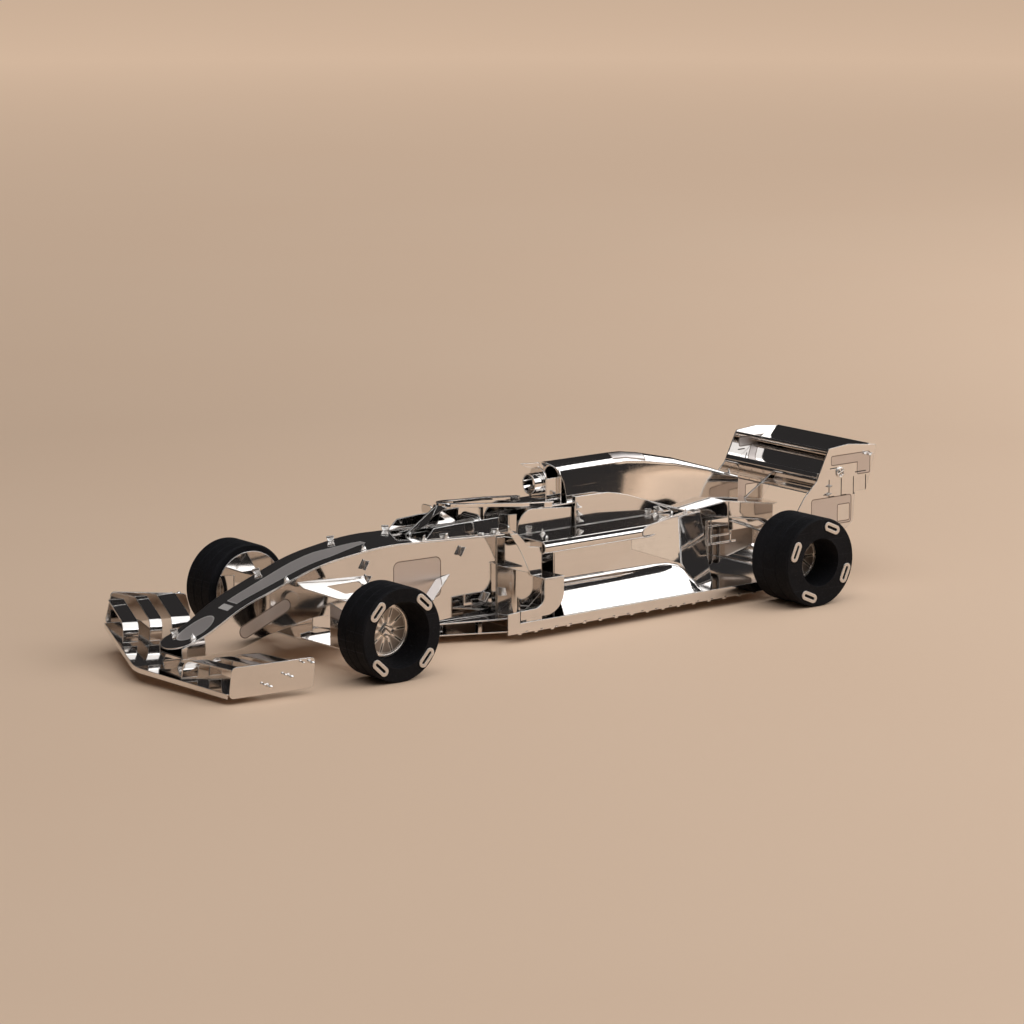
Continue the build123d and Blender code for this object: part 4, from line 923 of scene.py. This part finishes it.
def make_halo():
    """The guard ring, the cheeks of its front pillar narrowed and folded back."""
    mesh = copy_of("halo")
    for vertex in mesh.verts:
        aside = abs(vertex.co.y) / MM
        if vertex.co.x > place(PILLAR_X, 0, 0).x and aside > PILLAR_EDGE:
            cheek = aside - CHEEK_FOLD
            vertex.co.y *= (CHEEK_FOLD + cheek * CHEEK_WIDTH_SHARE) / aside
            vertex.co.x -= cheek * CHEEK_BACK_SHARE * MM
    stand_in("guard_ring", mesh, POLISHED, "halo")


# Studio

FLOOR_TINTS = [(0.83, 0.60, 0.43, 1), (0.86, 0.64, 0.47, 1)]
FLOOR_SIDE, FAR_FLOOR_GLOW = 8.0, 0.62
# the far floor's glow starts and is full at these distances from the model, in metres
GLOW_START, GLOW_FULL = 0.5, 2.8
ROOM_COLOUR = (0.03, 0.028, 0.028, 1)
# lamp, where it stands, what it looks at, its sides in metres, its power in watts, its colour
LAMPS = [
    ("softbox", (-1.0, 0.465, 0.72), (0.0, 0.0, 0.03), (2.0, 0.56), 7.9, (1.0, 1.0, 1.0)),
    ("overhead", (0.1, 0.7, 2.3), (0.0, 0.0, 0.0), (3.6, 3.4), 50.0, (1.0, 1.0, 1.0)),
    ("warm_card", (-1.16, 0.95, 0.32), (0.0, 0.0, 0.03), (0.42, 0.34), 0.34, (1.0, 0.78, 0.6)),
]
# the photograph's view: the camera's place and the point it looks at, in the maker's frame
CAMERA_AT = (1004.45, 1265.14, 364.67)
CAMERA_AIM = (7.24, 0.0, 45.14)
CAMERA_LENS, CAMERA_SENSOR = 140.4, 36.0


def set_up(thing, name, at, aim):
    """Puts a lamp or a camera into the scene, looking from one point at another."""
    holder = bpy.data.objects.new(name, thing)
    holder.location = at
    holder.rotation_euler = (Vector(aim) - Vector(at)).to_track_quat("-Z", "Y").to_euler()
    bpy.context.scene.collection.objects.link(holder)
    return holder


def floor_material():
    """Pale warm floor. Far from the model it is evened out, for the camera and for reflections."""
    material, tree, shader, vector = start_material("studio_floor")
    cloud = noise(tree, vector, scale=3.0, detail=2.0, roughness=0.5)
    distance = vector_maths(tree, "LENGTH", vector).outputs["Value"]
    far = remap(tree, distance, GLOW_START, GLOW_FULL, 0.0, FAR_FLOOR_GLOW)
    path = add(tree, "ShaderNodeLightPath").outputs
    seen = larger(tree, path["Is Camera Ray"], path["Is Glossy Ray"])
    feed(tree, shader, Base_Color=blend_colour(tree, cloud, *FLOOR_TINTS), Roughness=0.7,
         Emission_Color=blend_colour(tree, times(tree, far, seen), (0, 0, 0, 1), FLOOR_TINTS[0]),
         Emission_Strength=1.0)
    return material


def make_studio():
    """Pale floor, soft lamps and a dim room."""
    bpy.ops.mesh.primitive_plane_add(size=FLOOR_SIDE, location=(0, 0, 0))
    floor = bpy.context.object
    floor.name = "studio_floor"
    floor.data.materials.append(floor_material())

    for name, at, aim, sides, power, colour in LAMPS:
        lamp = bpy.data.lights.new(name, "AREA")
        lamp.shape = "RECTANGLE"
        lamp.size, lamp.size_y = sides
        lamp.energy = power
        lamp.color = colour
        set_up(lamp, name, at, aim).visible_camera = False

    world = bpy.data.worlds.new("studio")
    world.use_nodes = True
    feed(world.node_tree, world.node_tree.nodes["Background"], Color=ROOM_COLOUR, Strength=1.0)
    bpy.context.scene.world = world
    bpy.context.scene.view_settings.view_transform = "Standard"


def make_camera():
    """The photograph's view."""
    data = bpy.data.cameras.new("camera")
    data.lens = CAMERA_LENS
    data.sensor_width = CAMERA_SENSOR
    data.clip_start, data.clip_end = 0.05, 30.0
    bpy.context.scene.camera = set_up(data, "camera", place(*CAMERA_AT), place(*CAMERA_AIM))


make_camera()
make_studio()
dress_frame()
make_skins()
make_cover()
make_coamings()
make_pod_walls()
make_halo()
make_fasteners()
make_rings()
make_cap_heads()
make_engine_frame()
